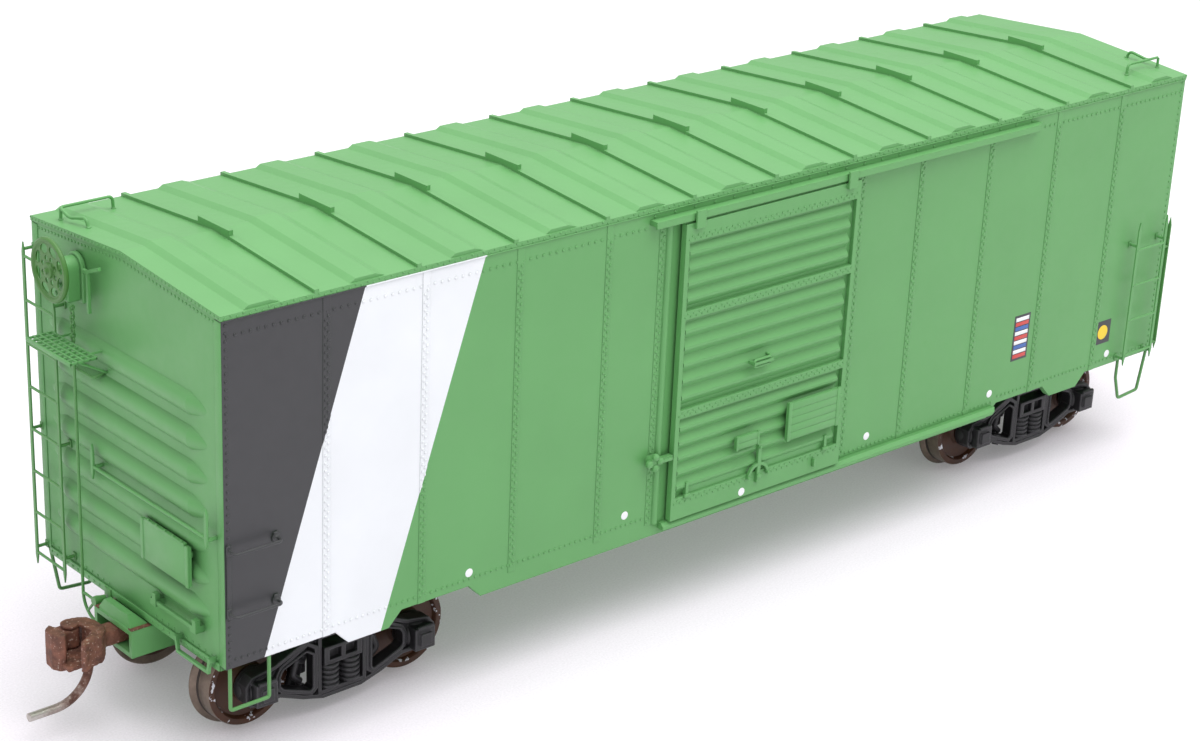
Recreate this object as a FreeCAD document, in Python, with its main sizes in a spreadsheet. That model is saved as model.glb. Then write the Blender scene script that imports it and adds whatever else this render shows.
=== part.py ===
import FreeCAD, Part
import os
import math
import Sketcher
from FreeCAD import Vector, Rotation, Placement

# Scale model of a forty-foot steel boxcar, 1:87.1, millimetres.
# +X runs along the car towards the end without the hand brake, +Z is up,
# z = 0 is the lowest point of the wheel flanges. The car is the same after
# half a turn about Z, apart from the ladders and the hand brake, so each piece
# is drawn once, on the left side (-Y) or at the brake end (-X).

doc = FreeCAD.newDocument("Boxcar")
sheet = doc.addObject("Spreadsheet::Sheet", "Sizes")

SIZES = [
    # alias, value, what it is
    ("body_length", 141.5, "over the end sheets"),
    ("body_width", 33.6, "over the side sheets"),
    ("wall", 0.9, "side sheet thickness"),
    ("end_wall", 0.9, "end sheet thickness"),
    ("sill_z", 12.1, "bottom edge of the side sheets"),
    ("deep_sill_z", 10.5, "bottom edge of the deep sill and of the bolster tabs"),
    ("deep_sill_length", 78.8, "level part of the deep sill"),
    ("tab_length", 5.0, "level part of a bolster tab"),
    ("end_sill_z", 11.6, "bottom edge of the ends"),
    ("eave_z", 48.1, "top edge of the side sheets"),
    ("side_pitch", 11.79, "between the side seams"),
    ("lap_width", 0.9, "riveted lap of a side seam"),
    ("lap_rise", 0.06, "riveted lap above the sheet"),
    ("post_radius", 0.42, "half-round door post"),
    ("end_rib_count", 7, "pressed ribs of an end"),
    ("end_rib_pitch", 3.52, "between the end ribs"),
    ("end_rib_low", 17.1, "height of the lowest end rib"),
    ("end_rib_reach", 14.2, "centre line to the point of an end rib"),
    ("end_rib_radius", 1.55, "section of an end rib"),
    ("end_rib_depth", 0.95, "axis of an end rib under the sheet's face"),
    ("roof_rise", 1.3, "eave to ridge"),
    ("roof_thick", 0.5, "roof sheet"),
    ("roof_over_end", 0.12, "roof beyond the end sheets"),
    ("roof_over_side", 0.08, "roof beyond the side sheets"),
    ("roof_pitch", 12.03, "between the roof seams"),
    ("roof_seam_width", 0.5, "standing seam of the roof"),
    ("roof_seam_rise", 0.35, "standing seam above the roof sheet"),
    ("roof_rib_width", 4.2, "soft rib between two seams"),
    ("roof_rib_rise", 0.4, "soft rib above the roof sheet"),
    ("saddle_length", 5.4, "ridge saddle, across the car"),
    ("saddle_rise", 0.7, "ridge saddle above the ridge"),
    ("floor_z", 12.9, "underside of the floor"),
    ("floor_thick", 0.9, "floor"),
    ("door_left_x", -13.85, "closing edge of the door"),
    ("door_width", 26.25, "door"),
    ("door_lap", 0.75, "door beyond the doorway, all round"),
    ("door_bottom_z", 12.1, "lower edge of the door"),
    ("door_top_z", 46.7, "upper edge of the door"),
    ("door_thick", 0.5, "door sheet"),
    ("door_gap", 0.3, "air between the door and the side"),
    ("door_recess", 0.25, "ribbed panels behind the door sheet's face"),
    ("door_rib_rise", 0.25, "door ribs, bands and stiles before the door sheet's face"),
    ("door_rib_crest", 0.3, "crest of a door rib"),
    ("slide_gap", 0.12, "air between the door and its tracks"),
    ("board_thick", 0.4, "route boards"),
    ("board_gap", 0.25, "route boards off the ribs behind them"),
    ("track_start_x", -18.1, "near end of the upper track"),
    ("track_end_x", 42.3, "far end of both tracks"),
    ("track_thick", 0.55, "upper track"),
    ("lip_thick", 0.18, "lip in front of the door's upper edge"),
    ("lip_lap", 0.1, "lip down over the door"),
    ("ledge_reach", 0.95, "lower track out from the side"),
    ("ledge_height", 0.75, "lower track"),
    ("truck_centres", 107.5, "between the truck pivots"),
    ("wheelbase", 19.8, "axle to axle"),
    ("tread_radius", 4.81, "wheel tread"),
    ("flange_depth", 0.64, "flange below the tread"),
    ("wheel_width", 2.79, "over rim and flange"),
    ("flange_width", 0.75, "flange at its root"),
    ("back_to_back", 14.5, "between the wheel backs"),
    ("axle_radius", 1.0, "axle between the wheels"),
    ("point_radius", 1.2, "root of the pointed axle end"),
    ("axle_length", 24.2, "over the points of the axle"),
    ("frame_gap", 0.86, "wheel rim to truck side frame"),
    ("frame_thick", 1.5, "truck side frame over its flanges"),
    ("frame_flange", 0.4, "flange round the side frame and its windows"),
    ("frame_recess", 0.5, "side frame web behind its flanges"),
    ("column_x", 2.6, "truck centre to the bolster column"),
    ("arch_z", 9.7, "top of the side frame"),
    ("belly_z", 2.1, "bottom of the side frame"),
    ("journal_reach", 1.9, "axle to the outer end of the side frame"),
    ("lid_rise", 1.5, "journal lid beyond the side frame"),
    ("spring_radius", 0.95, "bolster spring"),
    ("bolster_z", 5.9, "underside of the bolster ends"),
    ("bolster_height", 2.0, "bolster ends"),
    ("pivot_z", 9.4, "where the body rests on the truck"),
    ("pivot_radius", 2.2, "centre plate"),
    ("pin_radius", 0.9, "truck screw"),
    ("centre_sill_width", 4.8, "over the webs of the centre sill"),
    ("centre_sill_z", 9.6, "bottom of the centre sill"),
    ("box_drop", 0.35, "coupler box under the bottom edge of the ends"),
    ("box_length", 11.0, "coupler box"),
    ("box_width", 7.0, "coupler box"),
    ("box_height", 3.0, "coupler box"),
    ("box_wall", 0.5, "coupler box"),
    ("box_out", 2.35, "coupler box out of the end sheet"),
    ("pin_in", 6.15, "coupler pivot behind the end sheet"),
    ("coupler_pin_radius", 0.8, "post the coupler turns on"),
    ("shank_width", 1.8, "coupler shank"),
    ("head_height", 3.0, "coupler head"),
    ("knuckle_height", 2.0, "knuckle between the ears"),
    ("knuckle_pin_x", 12.3, "coupler pivot to knuckle pin"),
    ("knuckle_pin_y", 1.9, "knuckle pin off the centre line"),
    ("knuckle_pin_radius", 0.35, "knuckle pin"),
    ("hose_radius", 0.45, "uncoupling hose under the knuckle"),
    ("hose_bend", 4.2, "bend of the uncoupling hose"),
    ("hose_z", 3.3, "level end of the uncoupling hose"),
    ("striker_height", 1.25, "striker over the coupler box"),
    ("striker_width", 6.1, "foot of the striker"),
    ("running", 0.05, "running clearance of pins and journals"),
    ("air", 0.3, "air between moving faces"),
    ("wire", 0.34, "thickness of ladder bars, grabs and steps"),
    ("stand_off", 1.25, "grabs and ladders out from the sheet"),
    ("ladder_width", 6.0, "over the stiles of a ladder"),
    ("ladder_inset", 1.0, "corner of the car to the ladder"),
    ("rung_pitch", 4.7, "between ladder rungs"),
    ("rung_low_z", 13.3, "lowest rung of the side ladders"),
    ("end_rung_low_z", 11.8, "lowest rung of the long end ladder"),
    ("step_z", 7.3, "tread of the sill steps"),
    ("brake_y", 7.7, "hand brake off the centre line"),
    ("brake_wheel_radius", 3.3, "hand brake wheel"),
    ("brake_wheel_z", 46.3, "centre of the hand brake wheel"),
    ("brake_out", 3.35, "hand brake wheel out of the end sheet"),
    ("housing_depth", 2.3, "hand brake gear housing"),
    ("platform_z", 38.6, "brake platform"),
    ("sheave_radius", 2.8, "quarter sheave under the brake rod"),
]


class Dim:
    # a number that remembers the spreadsheet expression it comes from
    def __init__(self, number, text):
        self.number = float(number)
        self.text = text

    def join(self, other, sign, number):
        return Dim(number, "(%s %s %s)" % (self.text, sign, dim(other).text))

    def __add__(self, other):
        return self.join(other, "+", self.number + dim(other).number)

    def __radd__(self, other):
        return dim(other) + self

    def __sub__(self, other):
        return self.join(other, "-", self.number - dim(other).number)

    def __rsub__(self, other):
        return dim(other) - self

    def __mul__(self, other):
        return self.join(other, "*", self.number * dim(other).number)

    def __rmul__(self, other):
        return dim(other) * self

    def __truediv__(self, other):
        return self.join(other, "/", self.number / dim(other).number)

    def __neg__(self):
        return Dim(-self.number, "(0 - %s)" % self.text)


def dim(value):
    if isinstance(value, Dim):
        return value
    return Dim(value, "%.6f" % value if value >= 0 else "(0 - %.6f)" % -value)


class Named:
    pass


size = Named()
for row, (alias, value, note) in enumerate(SIZES, 1):
    sheet.set("A%d" % row, alias)
    sheet.set("B%d" % row, str(value))
    sheet.set("C%d" % row, note)
    sheet.setAlias("B%d" % row, alias)
    setattr(size, alias, Dim(value, "Sizes." + alias))
doc.recompute()

half_length = size.body_length / 2
half_width = size.body_width / 2
truck_x = -size.truck_centres / 2
axle_z = size.tread_radius + size.flange_depth
box_top = size.end_sill_z - size.box_drop
coupler_z = box_top - size.box_height / 2
pieces = []


def bind(obj, prop, value):
    obj.setExpression(prop, dim(value).text)


def put(obj, x, y, z):
    for axis, value in zip("xyz", (x, y, z)):
        bind(obj, "Placement.Base." + axis, value)


def box(x0, x1, y0, y1, z0, z1):
    obj = doc.addObject("Part::Box", "Block")
    bind(obj, "Length", dim(x1) - x0)
    bind(obj, "Width", dim(y1) - y0)
    bind(obj, "Height", dim(z1) - z0)
    put(obj, x0, y0, z0)
    return obj


TURNS = {"x": Rotation(Vector(0, 1, 0), 90), "y": Rotation(Vector(1, 0, 0), -90), "z": Rotation()}


def rod(axis, radius, length, x, y, z):
    obj = doc.addObject("Part::Cylinder", "Rod")
    obj.Placement = Placement(Vector(), TURNS[axis])
    bind(obj, "Radius", radius)
    bind(obj, "Height", length)
    put(obj, x, y, z)
    return obj


def body():
    return doc.addObject("PartDesign::Body", "Form")


def datum(form, role):
    return [f for f in form.Origin.OriginFeatures if f.Role == role][0]


# a closed outline on an origin plane of the body; its own origin is moved by right and
# rise in the plane and by up along the normal (-Y for XZ, +X for YZ, +Z for XY)
def outline(form, role, points, up=0.0, right=0.0, rise=0.0):
    sketch = form.newObject("Sketcher::SketchObject", "Outline")
    sketch.AttachmentSupport = [(datum(form, role), "")]
    sketch.MapMode = "FlatFace"
    for axis, value in zip("xyz", (right, rise, up)):
        bind(sketch, ".AttachmentOffset.Base." + axis, value)
    flat = [(dim(p[0]), dim(p[1])) for p in points]
    count = len(flat)
    for i in range(count):
        a, b = flat[i], flat[(i + 1) % count]
        sketch.addGeometry(Part.LineSegment(Vector(a[0].number, a[1].number, 0), Vector(b[0].number, b[1].number, 0)))
    for i in range(count):
        sketch.addConstraint(Sketcher.Constraint("Coincident", i, 2, (i + 1) % count, 1))
    for i, (a, b) in enumerate(flat):
        for kind, value in (("DistanceX", a), ("DistanceY", b)):
            number = sketch.addConstraint(Sketcher.Constraint(kind, -1, 1, i, 1, value.number))
            sketch.setExpression("Constraints[%d]" % number, value.text)
    return sketch


# fillet or chamfer on the edges of the body that pass a test
def dress(form, kind, value, test):
    doc.recompute()
    base = form.Tip
    names = ["Edge%d" % number for number, edge in enumerate(base.Shape.Edges, 1) if test(edge)]
    feature = form.newObject("PartDesign::" + kind, kind)
    feature.Base = (base, names)
    bind(feature, "Radius" if kind == "Fillet" else "Size", value)


# a third number at a point of an outline is the radius that rounds its corner
def soften(form, role, points):
    across = {"YZ_Plane": 0, "XZ_Plane": 1, "XY_Plane": 2}[role]
    corners = [(dim(p[0]).number, dim(p[1]).number, dim(p[2])) for p in points if len(p) > 2]
    for radius in sorted({c[2].number for c in corners}):
        spots = [c for c in corners if c[2].number == radius]

        def upright(edge):
            points = [[v.Point[k] for k in range(3) if k != across] for v in edge.Vertexes]
            return len(points) == 2 and any(all(math.hypot(p[0] - u, p[1] - v) < 1e-4 for p in points)
                                            for u, v, r in spots)

        dress(form, "Fillet", spots[0][2], upright)


def pad(form, role, points, thick, up=0.0, taper=0.0):
    feature = form.newObject("PartDesign::Pad", "Pad")
    feature.Profile = outline(form, role, points, up)
    bind(feature, "Length", thick)
    feature.TaperAngle = taper
    soften(form, role, points)
    return feature


def plate(role, points, thick, up=0.0, taper=0.0):
    form = body()
    pad(form, role, points, thick, up, taper)
    return form


def polar(radius, degrees):
    return radius * math.cos(math.radians(degrees)), radius * math.sin(math.radians(degrees))


def window(form, role, points):
    # cut right through, both ways from the plane
    feature = form.newObject("PartDesign::Pocket", "Window")
    feature.Profile = outline(form, role, points)
    feature.Type = 1
    feature.Midplane = True
    return feature


def sunk(form, role, points, deep, up):
    feature = form.newObject("PartDesign::Pocket", "Recess")
    feature.Profile = outline(form, role, points, up)
    bind(feature, "Length", deep)


def spin(form, role, points, angle=360, axis="H_Axis", up=0.0, right=0.0, rise=0.0):
    feature = form.newObject("PartDesign::Revolution", "Turn")
    feature.Profile = outline(form, role, points, up, right, rise)
    feature.ReferenceAxis = (feature.Profile[0], [axis])
    feature.Angle = angle
    feature.Midplane = angle < 360
    return feature


def row(form, feature, axis, gap, count):
    pattern = form.newObject("PartDesign::LinearPattern", "Row")
    pattern.Originals = [feature]
    pattern.Direction = (datum(form, axis), [""])
    bind(pattern, "Length", dim(gap) * (count - 1))
    pattern.Occurrences = count
    form.Tip = pattern


def ring(form, feature, sketch, count):
    pattern = form.newObject("PartDesign::PolarPattern", "Ring")
    pattern.Originals = [feature]
    pattern.Axis = (sketch, ["N_Axis"])
    pattern.Angle = 360
    pattern.Occurrences = count
    form.Tip = pattern


def rectangle(u0, u1, v0, v1, radius=None):
    corners = [(u0, v0), (u1, v0), (u1, v1), (u0, v1)]
    return corners if radius is None else [(u, v, radius) for u, v in corners]


def mirrored(points):
    # the right half of an outline, bottom to top, and its mirror image
    return list(points) + [(-dim(p[0]),) + tuple(p[1:]) for p in reversed(points)]


# a line or outline moved to its left by gap, keeping its corners square
def shifted(points, gap, closed):
    flat = [(dim(p[0]).number, dim(p[1]).number) for p in points]
    count = len(flat)
    moved = []
    for i, point in enumerate(points):
        normals = []
        for a, b in ((i - 1, i), (i, i + 1)):
            if closed or 0 <= a and b < count:
                dx = flat[b % count][0] - flat[a % count][0]
                dy = flat[b % count][1] - flat[a % count][1]
                normals.append((-dy / math.hypot(dx, dy), dx / math.hypot(dx, dy)))
        (p, q), (s, u) = normals[0], normals[-1]
        share = 1 + p * s + q * u
        new = [dim(point[0]) + dim(gap) * round((p + s) / share, 6), dim(point[1]) + dim(gap) * round((q + u) / share, 6)]
        if len(point) > 2:
            new.append(dim(point[2]) - gap)
        moved.append(tuple(new))
    return moved


def bent(role, path, width, thick, up):
    # a flat bar bent along a path
    half = dim(width) / 2
    return plate(role, shifted(path, -half, False) + shifted(path, half, False)[::-1], thick, up)


def fused(parts):
    obj = doc.addObject("Part::MultiFuse", "Joined")
    obj.Shapes = list(parts)
    return obj


def cut(base, tools):
    obj = doc.addObject("Part::Cut", "Trimmed")
    obj.Base = base
    obj.Tool = fused(tools) if len(tools) > 1 else tools[0]
    return obj


def node(label, obj):
    obj.Label = label
    pieces.append(obj)


# the piece as drawn and the same piece after half a turn about Z
def pair(labels, build):
    for label, angle in zip(labels, (0, 180)):
        obj = build()
        obj.Placement = Placement(Vector(), Rotation(Vector(0, 0, 1), angle))
        node(label, obj)


def sides(stem):
    return stem + "_left", stem + "_right"


def ends(stem):
    return stem + "_brake", stem + "_plain"


# ---- body shell ----

roof_half = half_length + size.roof_over_end
roof_reach = half_width + size.roof_over_side
door_right_x = size.door_left_x + size.door_width
floor_top = size.floor_z + size.floor_thick
post_x = size.door_left_x - 1.5
ledge_top = size.door_bottom_z - size.slide_gap     # top of the lower track
track_low = size.door_top_z - size.lip_lap    # lower edge of the upper track's lip


def roof_line(y):
    return size.eave_z + size.roof_rise * (roof_reach - y) / roof_reach


def side():
    slope = size.sill_z - size.deep_sill_z
    tab, deep, lap = size.tab_length / 2, size.deep_sill_length / 2, size.lap_width / 2
    low = [(deep, size.deep_sill_z), (deep + slope, size.sill_z),
           (-truck_x - tab - slope, size.sill_z), (-truck_x - tab, size.deep_sill_z),
           (-truck_x + tab, size.deep_sill_z), (-truck_x + tab + slope, size.sill_z),
           (half_length, size.sill_z), (half_length, size.eave_z)]
    shell = plate("XZ_Plane", mirrored(low), size.wall, half_width - size.wall)
    window(shell, "XZ_Plane", rectangle(size.door_left_x + size.door_lap, door_right_x - size.door_lap,
                                        floor_top, size.door_top_z - size.door_lap))

    def seam(x, z0, z1):
        return pad(shell, "XZ_Plane", rectangle(x - lap, x + lap, z0, z1), size.lap_rise, half_width)

    row(shell, seam(-size.side_pitch * 5, size.sill_z, size.eave_z), "X_Axis", size.side_pitch, 4)
    row(shell, seam(size.side_pitch * 2, ledge_top, track_low), "X_Axis", size.side_pitch, 2)
    row(shell, seam(size.side_pitch * 4, size.sill_z, size.eave_z), "X_Axis", size.side_pitch, 2)
    seam(post_x - size.post_radius - lap, ledge_top, track_low)
    seam(door_right_x + 1.35, ledge_top, track_low)
    # half-round post at the closing edge, with the clip that holds the door shut
    post = rod("z", size.post_radius, track_low - ledge_top, post_x, -half_width, ledge_top)
    clip = box(post_x - 1.7, size.door_left_x - 0.1, -half_width - 1.0, -half_width - 0.4, 19.5, 20.1)
    boss = rod("y", 0.65, 1.0, post_x - 1.1, -half_width - 1.0, 19.8)
    return fused([shell, post, clip, boss])


# end sheet with its pressed ribs: half spindles that run out to a point
def end():
    inner = half_width - size.wall
    sheet_form = plate("YZ_Plane", [(-inner, size.end_sill_z), (inner, size.end_sill_z), (inner, roof_line(inner)),
                                    (0, roof_line(0)), (-inner, roof_line(inner))], size.end_wall, -half_length)
    reach, deep, out = size.end_rib_reach, size.end_rib_depth, size.end_rib_radius
    rib = spin(sheet_form, "XY_Plane", [(0, -reach), (0, reach), (-deep, reach), (-out, reach - 2.7),
                                        (-out, 2.7 - reach), (-deep, -reach)], 180, "V_Axis",
               size.end_rib_low, -half_length + deep)
    row(sheet_form, rib, "Z_Axis", size.end_rib_pitch, int(size.end_rib_count.number))
    # low handhold under the ribs
    grab = bent("YZ_Plane", [(-9.2, 12.7), (-9.5, size.end_sill_z - 0.3), (-14.8, size.end_sill_z - 0.3), (-15.1, 12.7)],
                size.wire, size.wire, -half_length - 0.9)
    feet = [box(-half_length - 0.9, -half_length, y - 0.2, y + 0.2, 12.4, 12.9) for y in (-9.2, -15.1)]
    return fused([sheet_form, grab] + feet)


# roof: gable sheet, standing seams, soft ribs between them, saddles on the ridge
def gable(low, up, reach):
    # corners of a gable section: its underside and its top, measured from the eave
    return [(-reach, size.eave_z + low), (0, size.eave_z + low + size.roof_rise), (reach, size.eave_z + low),
            (reach, size.eave_z + up), (0, size.eave_z + up + size.roof_rise), (-reach, size.eave_z + up)]


def roof():
    form = plate("YZ_Plane", gable(0, size.roof_thick, roof_reach), roof_half * 2, -roof_half)
    top, sunk = size.roof_thick, size.roof_thick / 2
    first = -size.roof_pitch * 5
    seam = pad(form, "YZ_Plane", gable(sunk, top + size.roof_seam_rise, roof_reach), size.roof_seam_width,
               first - size.roof_seam_width / 2)
    row(form, seam, "X_Axis", size.roof_pitch, 11)
    saddle_low, half = size.eave_z + top + size.roof_rise - 0.3, size.saddle_length / 2
    saddle = pad(form, "YZ_Plane", rectangle(-half, half, saddle_low, saddle_low + 0.3 + size.saddle_rise),
                 size.roof_seam_width, first - size.roof_seam_width / 2)
    row(form, saddle, "X_Axis", size.roof_pitch, 11)
    middle, wide = first - size.roof_pitch / 2, size.roof_rib_width / 2
    sections = []
    for x, rise in ((-wide, 0.0), (0.7 - wide, size.roof_rib_rise), (wide - 1.2, size.roof_rib_rise), (wide, 0.0)):
        sections.append(outline(form, "YZ_Plane", gable(sunk, top + rise, roof_reach - 0.2), middle + x))
    rib = form.newObject("PartDesign::AdditiveLoft", "Rib")
    rib.Profile = sections[0]
    rib.Sections = sections[1:]
    rib.Ruled = True
    row(form, rib, "X_Axis", size.roof_pitch, 12)
    return form


pair(sides("side"), side)
pair(ends("end"), end)
node("roof", roof())
node("floor_board", plate("XY_Plane", rectangle(-half_length + size.end_wall, half_length - size.end_wall,
                                                -half_width + size.wall, half_width - size.wall),
                          size.floor_thick, size.floor_z))

# ---- underframe and brake gear ----

inside = half_width - size.wall


def crossbearer(x, thick, end_depth, depth):
    # a pressed cross member, deeper at the centre sill
    web = size.centre_sill_width / 2 + 1.0
    return plate("YZ_Plane", mirrored([(web, size.floor_z - depth), (inside, size.floor_z - end_depth),
                                       (inside, size.floor_z)]), thick, x - dim(thick) / 2)


def underframe():
    web = size.centre_sill_width / 2
    parts = [box(-half_length + size.end_wall, half_length - size.end_wall, -web, web, box_top, size.floor_z),
             box(truck_x + 4.5, -truck_x - 4.5, -web, web, size.centre_sill_z, size.floor_z)]
    for x in (truck_x, -truck_x):
        parts.append(crossbearer(x, 3.6, 1.2, 2.4))
        parts.append(rod("z", size.pivot_radius, size.floor_z - size.pivot_z, x, 0, size.pivot_z))
        parts.append(rod("z", size.pin_radius, 3.4, x, 0, size.pivot_z - 2.4))
    for n in range(4):
        parts.append(crossbearer(size.deep_sill_length / 2 * (2 * n - 3) / 4.2, 0.8, 0.9, 2.6))
    for y in (-inside * 0.6, inside * 0.6):
        parts.append(box(truck_x + 6.5, -truck_x - 6.5, y - 0.4, y + 0.4, size.floor_z - 1.0, size.floor_z))
    return fused(parts)


def brake_cylinder():
    shell = body()
    spin(shell, "XY_Plane", [(0, 0), (0, 2.6), (0.6, 2.6), (0.6, 2.3), (6.6, 2.3), (7.5, 1.2), (7.5, 0)])
    put(shell, -23.0, 6.0, 9.4)
    return fused([shell, box(-21.0, -17.2, 5.4, 6.6, 10.9, size.floor_z)])


def air_reservoir():
    shell = body()
    spin(shell, "XY_Plane", [(0, 0), (0, 1.2), (0.9, 2.1), (9.6, 2.1), (10.5, 1.2), (10.5, 0)])
    put(shell, 12.0, 6.4, 9.6)
    return fused([shell, box(14.5, 15.1, 5.8, 7.0, 10.9, size.floor_z), box(19.4, 20.0, 5.8, 7.0, 10.9, size.floor_z)])


def brake_valve():
    return fused([plate("XY_Plane", [(-4.0, 5.4, 0.6), (-0.5, 5.4, 0.6), (-0.5, 8.4, 0.6), (-4.0, 8.4, 0.6)], 2.2, 9.2),
                  box(-3.2, -1.3, 6.2, 7.6, 11.0, size.floor_z)])


node("underframe", underframe())
node("brake_cylinder", brake_cylinder())
node("air_reservoir", air_reservoir())
node("brake_valve", brake_valve())

# ---- couplers ----

pin_x = half_length - size.pin_in
box_front = half_length + size.box_out


def coupler_box():
    w, wall = size.box_width / 2, size.box_wall
    low = box_top - size.box_height
    case = box(-box_front, size.box_length - box_front, -w, w, low, box_top)
    room = box(-box_front - 1, size.box_length - box_front - wall, wall - w, w - wall, low + wall, box_top - wall)
    post = rod("z", size.coupler_pin_radius, size.box_height - wall, -pin_x, 0, low + wall / 2)
    # striker: a block over the mouth of the box, all its faces sloping in
    striker, foot = body(), size.striker_width / 2
    loft = [outline(striker, "XY_Plane", rectangle(-box_front + 0.15, -half_length, -foot, foot), box_top),
            outline(striker, "XY_Plane", rectangle(-box_front + 0.4, -half_length - 1.2, 0.9 - foot, foot - 0.9),
                    box_top + size.striker_height)]
    block = striker.newObject("PartDesign::AdditiveLoft", "Block")
    block.Profile = loft[0]
    block.Sections = loft[1:]
    block.Ruled = True
    return fused([cut(case, [room]), post, striker])


# a point of the coupler: x out from its pivot, y to the right hand as it is faced
def from_pin(points):
    return [(-pin_x - p[0], p[1]) + tuple(p[2:]) for p in points]


def knuckle_pin(axis_radius, low, tall):
    return rod("z", axis_radius, tall, -pin_x - size.knuckle_pin_x, size.knuckle_pin_y, coupler_z + low)


# shank with the eye round the post, head with the guard arm and the ears of the knuckle
def coupler():
    tall = size.box_height - size.box_wall * 2 - size.air
    half, high = size.shank_width / 2, size.head_height
    kx, ear = size.knuckle_pin_x, 0.95
    shank = plate("XY_Plane", from_pin([(-1.6, -0.9), (-0.9, -1.6), (1.6, -1.6), (2.6, -half), (10.4, -half),
                                        (10.4, half), (2.6, half), (1.6, 1.6), (-0.9, 1.6), (-1.6, 0.9)]), tall, coupler_z - tall / 2)
    eye = rod("z", size.coupler_pin_radius + size.running, tall * 2, -pin_x, 0, coupler_z - tall)
    head = plate("XY_Plane", from_pin([(9.9, -half), (10.6, -1.9), (11.2, -2.4), (12.6, -2.7), (13.6, -3.2),
                                       (13.9, -2.9), (13.4, -2.2), (12.3, -1.6), (kx - 0.9, -0.7), (kx - 0.7, 1.0),
                                       (kx - 0.3, 2.7), (11.1, 2.6), (10.3, 2.0), (9.9, half)]), high,
                 coupler_z - high / 2)
    web = size.knuckle_height / 2 + 0.1
    room = knuckle_pin(ear + 0.3, -web, web * 2)
    ears = [knuckle_pin(ear, -high / 2, high / 2 - web), knuckle_pin(ear, web, high / 2 - web)]
    pin = knuckle_pin(size.knuckle_pin_radius, -high / 2, high)
    return fused([cut(shank, [eye]), cut(head, [room]), pin] + ears)


# the uncoupling hose: a bent wire from under the knuckle, level at its end
def hose(x, top):
    form = body()
    section = outline(form, "XY_Plane", [polar(size.hose_radius, turn + 22.5) for turn in range(0, 360, 45)])
    path = form.newObject("Sketcher::SketchObject", "Path")
    path.AttachmentSupport = [(datum(form, "XZ_Plane"), "")]
    path.MapMode = "FlatFace"
    bend, drop, level = size.hose_bend.number, (top - size.hose_z).number, 2.9
    path.addGeometry(Part.LineSegment(Vector(0, 0, 0), Vector(0, bend - drop, 0)))
    path.addGeometry(Part.ArcOfCircle(Part.Circle(Vector(-bend, bend - drop, 0), Vector(0, 0, 1), bend), -math.pi / 2, 0))
    path.addGeometry(Part.LineSegment(Vector(-bend, -drop, 0), Vector(-bend - level, -drop, 0)))
    path.addConstraint(Sketcher.Constraint("Coincident", 0, 1, -1, 1))
    path.addConstraint(Sketcher.Constraint("Vertical", 0))
    path.addConstraint(Sketcher.Constraint("Tangent", 0, 2, 1, 2))
    path.addConstraint(Sketcher.Constraint("Tangent", 1, 1, 2, 1))
    path.addConstraint(Sketcher.Constraint("Horizontal", 2))
    for kind, value in (("Radius", size.hose_bend), ("DistanceX", dim(-level)), ("DistanceY", size.hose_z - top)):
        spot = (1,) if kind == "Radius" else (2, 1, 2, 2) if kind == "DistanceX" else (-1, 1, 2, 2)
        number = path.addConstraint(Sketcher.Constraint(kind, *spot, value.number))
        path.setExpression("Constraints[%d]" % number, value.text)
    sweep = form.newObject("PartDesign::AdditivePipe", "Wire")
    sweep.Profile = section
    sweep.Spine = (path, ["Edge1", "Edge2", "Edge3"])
    put(form, x, 0, top)
    return form


# the knuckle turns on the pin between the ears; its face stands taller than the head
def knuckle():
    kx, tall = size.knuckle_pin_x, size.knuckle_height
    low = coupler_z - tall / 2
    hub = knuckle_pin(0.95, -tall / 2, tall)
    jaw = plate("XY_Plane", from_pin([(kx + 0.1, 2.8), (kx + 0.3, 1.2), (kx + 1.6, 1.0), (kx + 1.8, -0.5),
                                      (kx + 2.1, -0.8), (kx + 2.7, -0.6), (kx + 3.1, 0.2), (kx + 3.0, 1.6),
                                      (kx + 2.4, 2.4), (kx + 1.4, 2.8)]), tall, low)
    face = plate("XY_Plane", from_pin([(kx + 1.7, 1.0), (kx + 1.8, -0.5), (kx + 2.1, -0.8), (kx + 2.7, -0.6),
                                       (kx + 3.1, 0.2), (kx + 3.0, 1.6), (kx + 2.2, 2.2)]),
                 tall * 2, low - tall * 0.6)
    plate_top = coupler_z - size.head_height / 2 - 0.1
    foot = plate("XY_Plane", from_pin([(kx + 1.8, 1.8), (kx + 2.1, 0.6), (kx + 0.3, -0.7), (kx - 1.5, -0.7),
                                       (kx - 1.5, 0.6), (kx, 0.8)]), 0.5, plate_top - 0.5)
    hole = knuckle_pin(size.knuckle_pin_radius + size.running, -tall, tall * 2)
    return fused([cut(fused([hub, jaw]), [hole]), face, foot, hose(-pin_x - kx + 0.95, plate_top - 0.2)])


pair(ends("coupler_box"), coupler_box)
pair(ends("coupler"), coupler)
pair(ends("knuckle"), knuckle)

# ---- trucks ----

wheel_back = size.back_to_back / 2
rim_y = wheel_back + size.wheel_width
axle_end = size.axle_length / 2
frame_y = rim_y + size.frame_gap
frame_face = frame_y + size.frame_thick


def half_turned(obj):
    # the same piece on the other side of its truck
    obj.Placement = Placement(Vector(), Rotation(Vector(0, 0, 1), 180))
    bind(obj, "Placement.Base.x", truck_x * 2)
    return obj


# bearing of the pointed axle end: a cone with the axle's own taper
def cup(x):
    slope = size.point_radius / (axle_end - rim_y)
    start = frame_y - 0.2
    deep = axle_end + size.running * 3 - start
    obj = doc.addObject("Part::Cone", "Cup")
    obj.Placement = Placement(Vector(), Rotation(Vector(1, 0, 0), 90))
    bind(obj, "Radius1", slope * deep)
    obj.Radius2 = 0
    bind(obj, "Height", deep)
    put(obj, x, -start, axle_z)
    return obj


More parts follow.
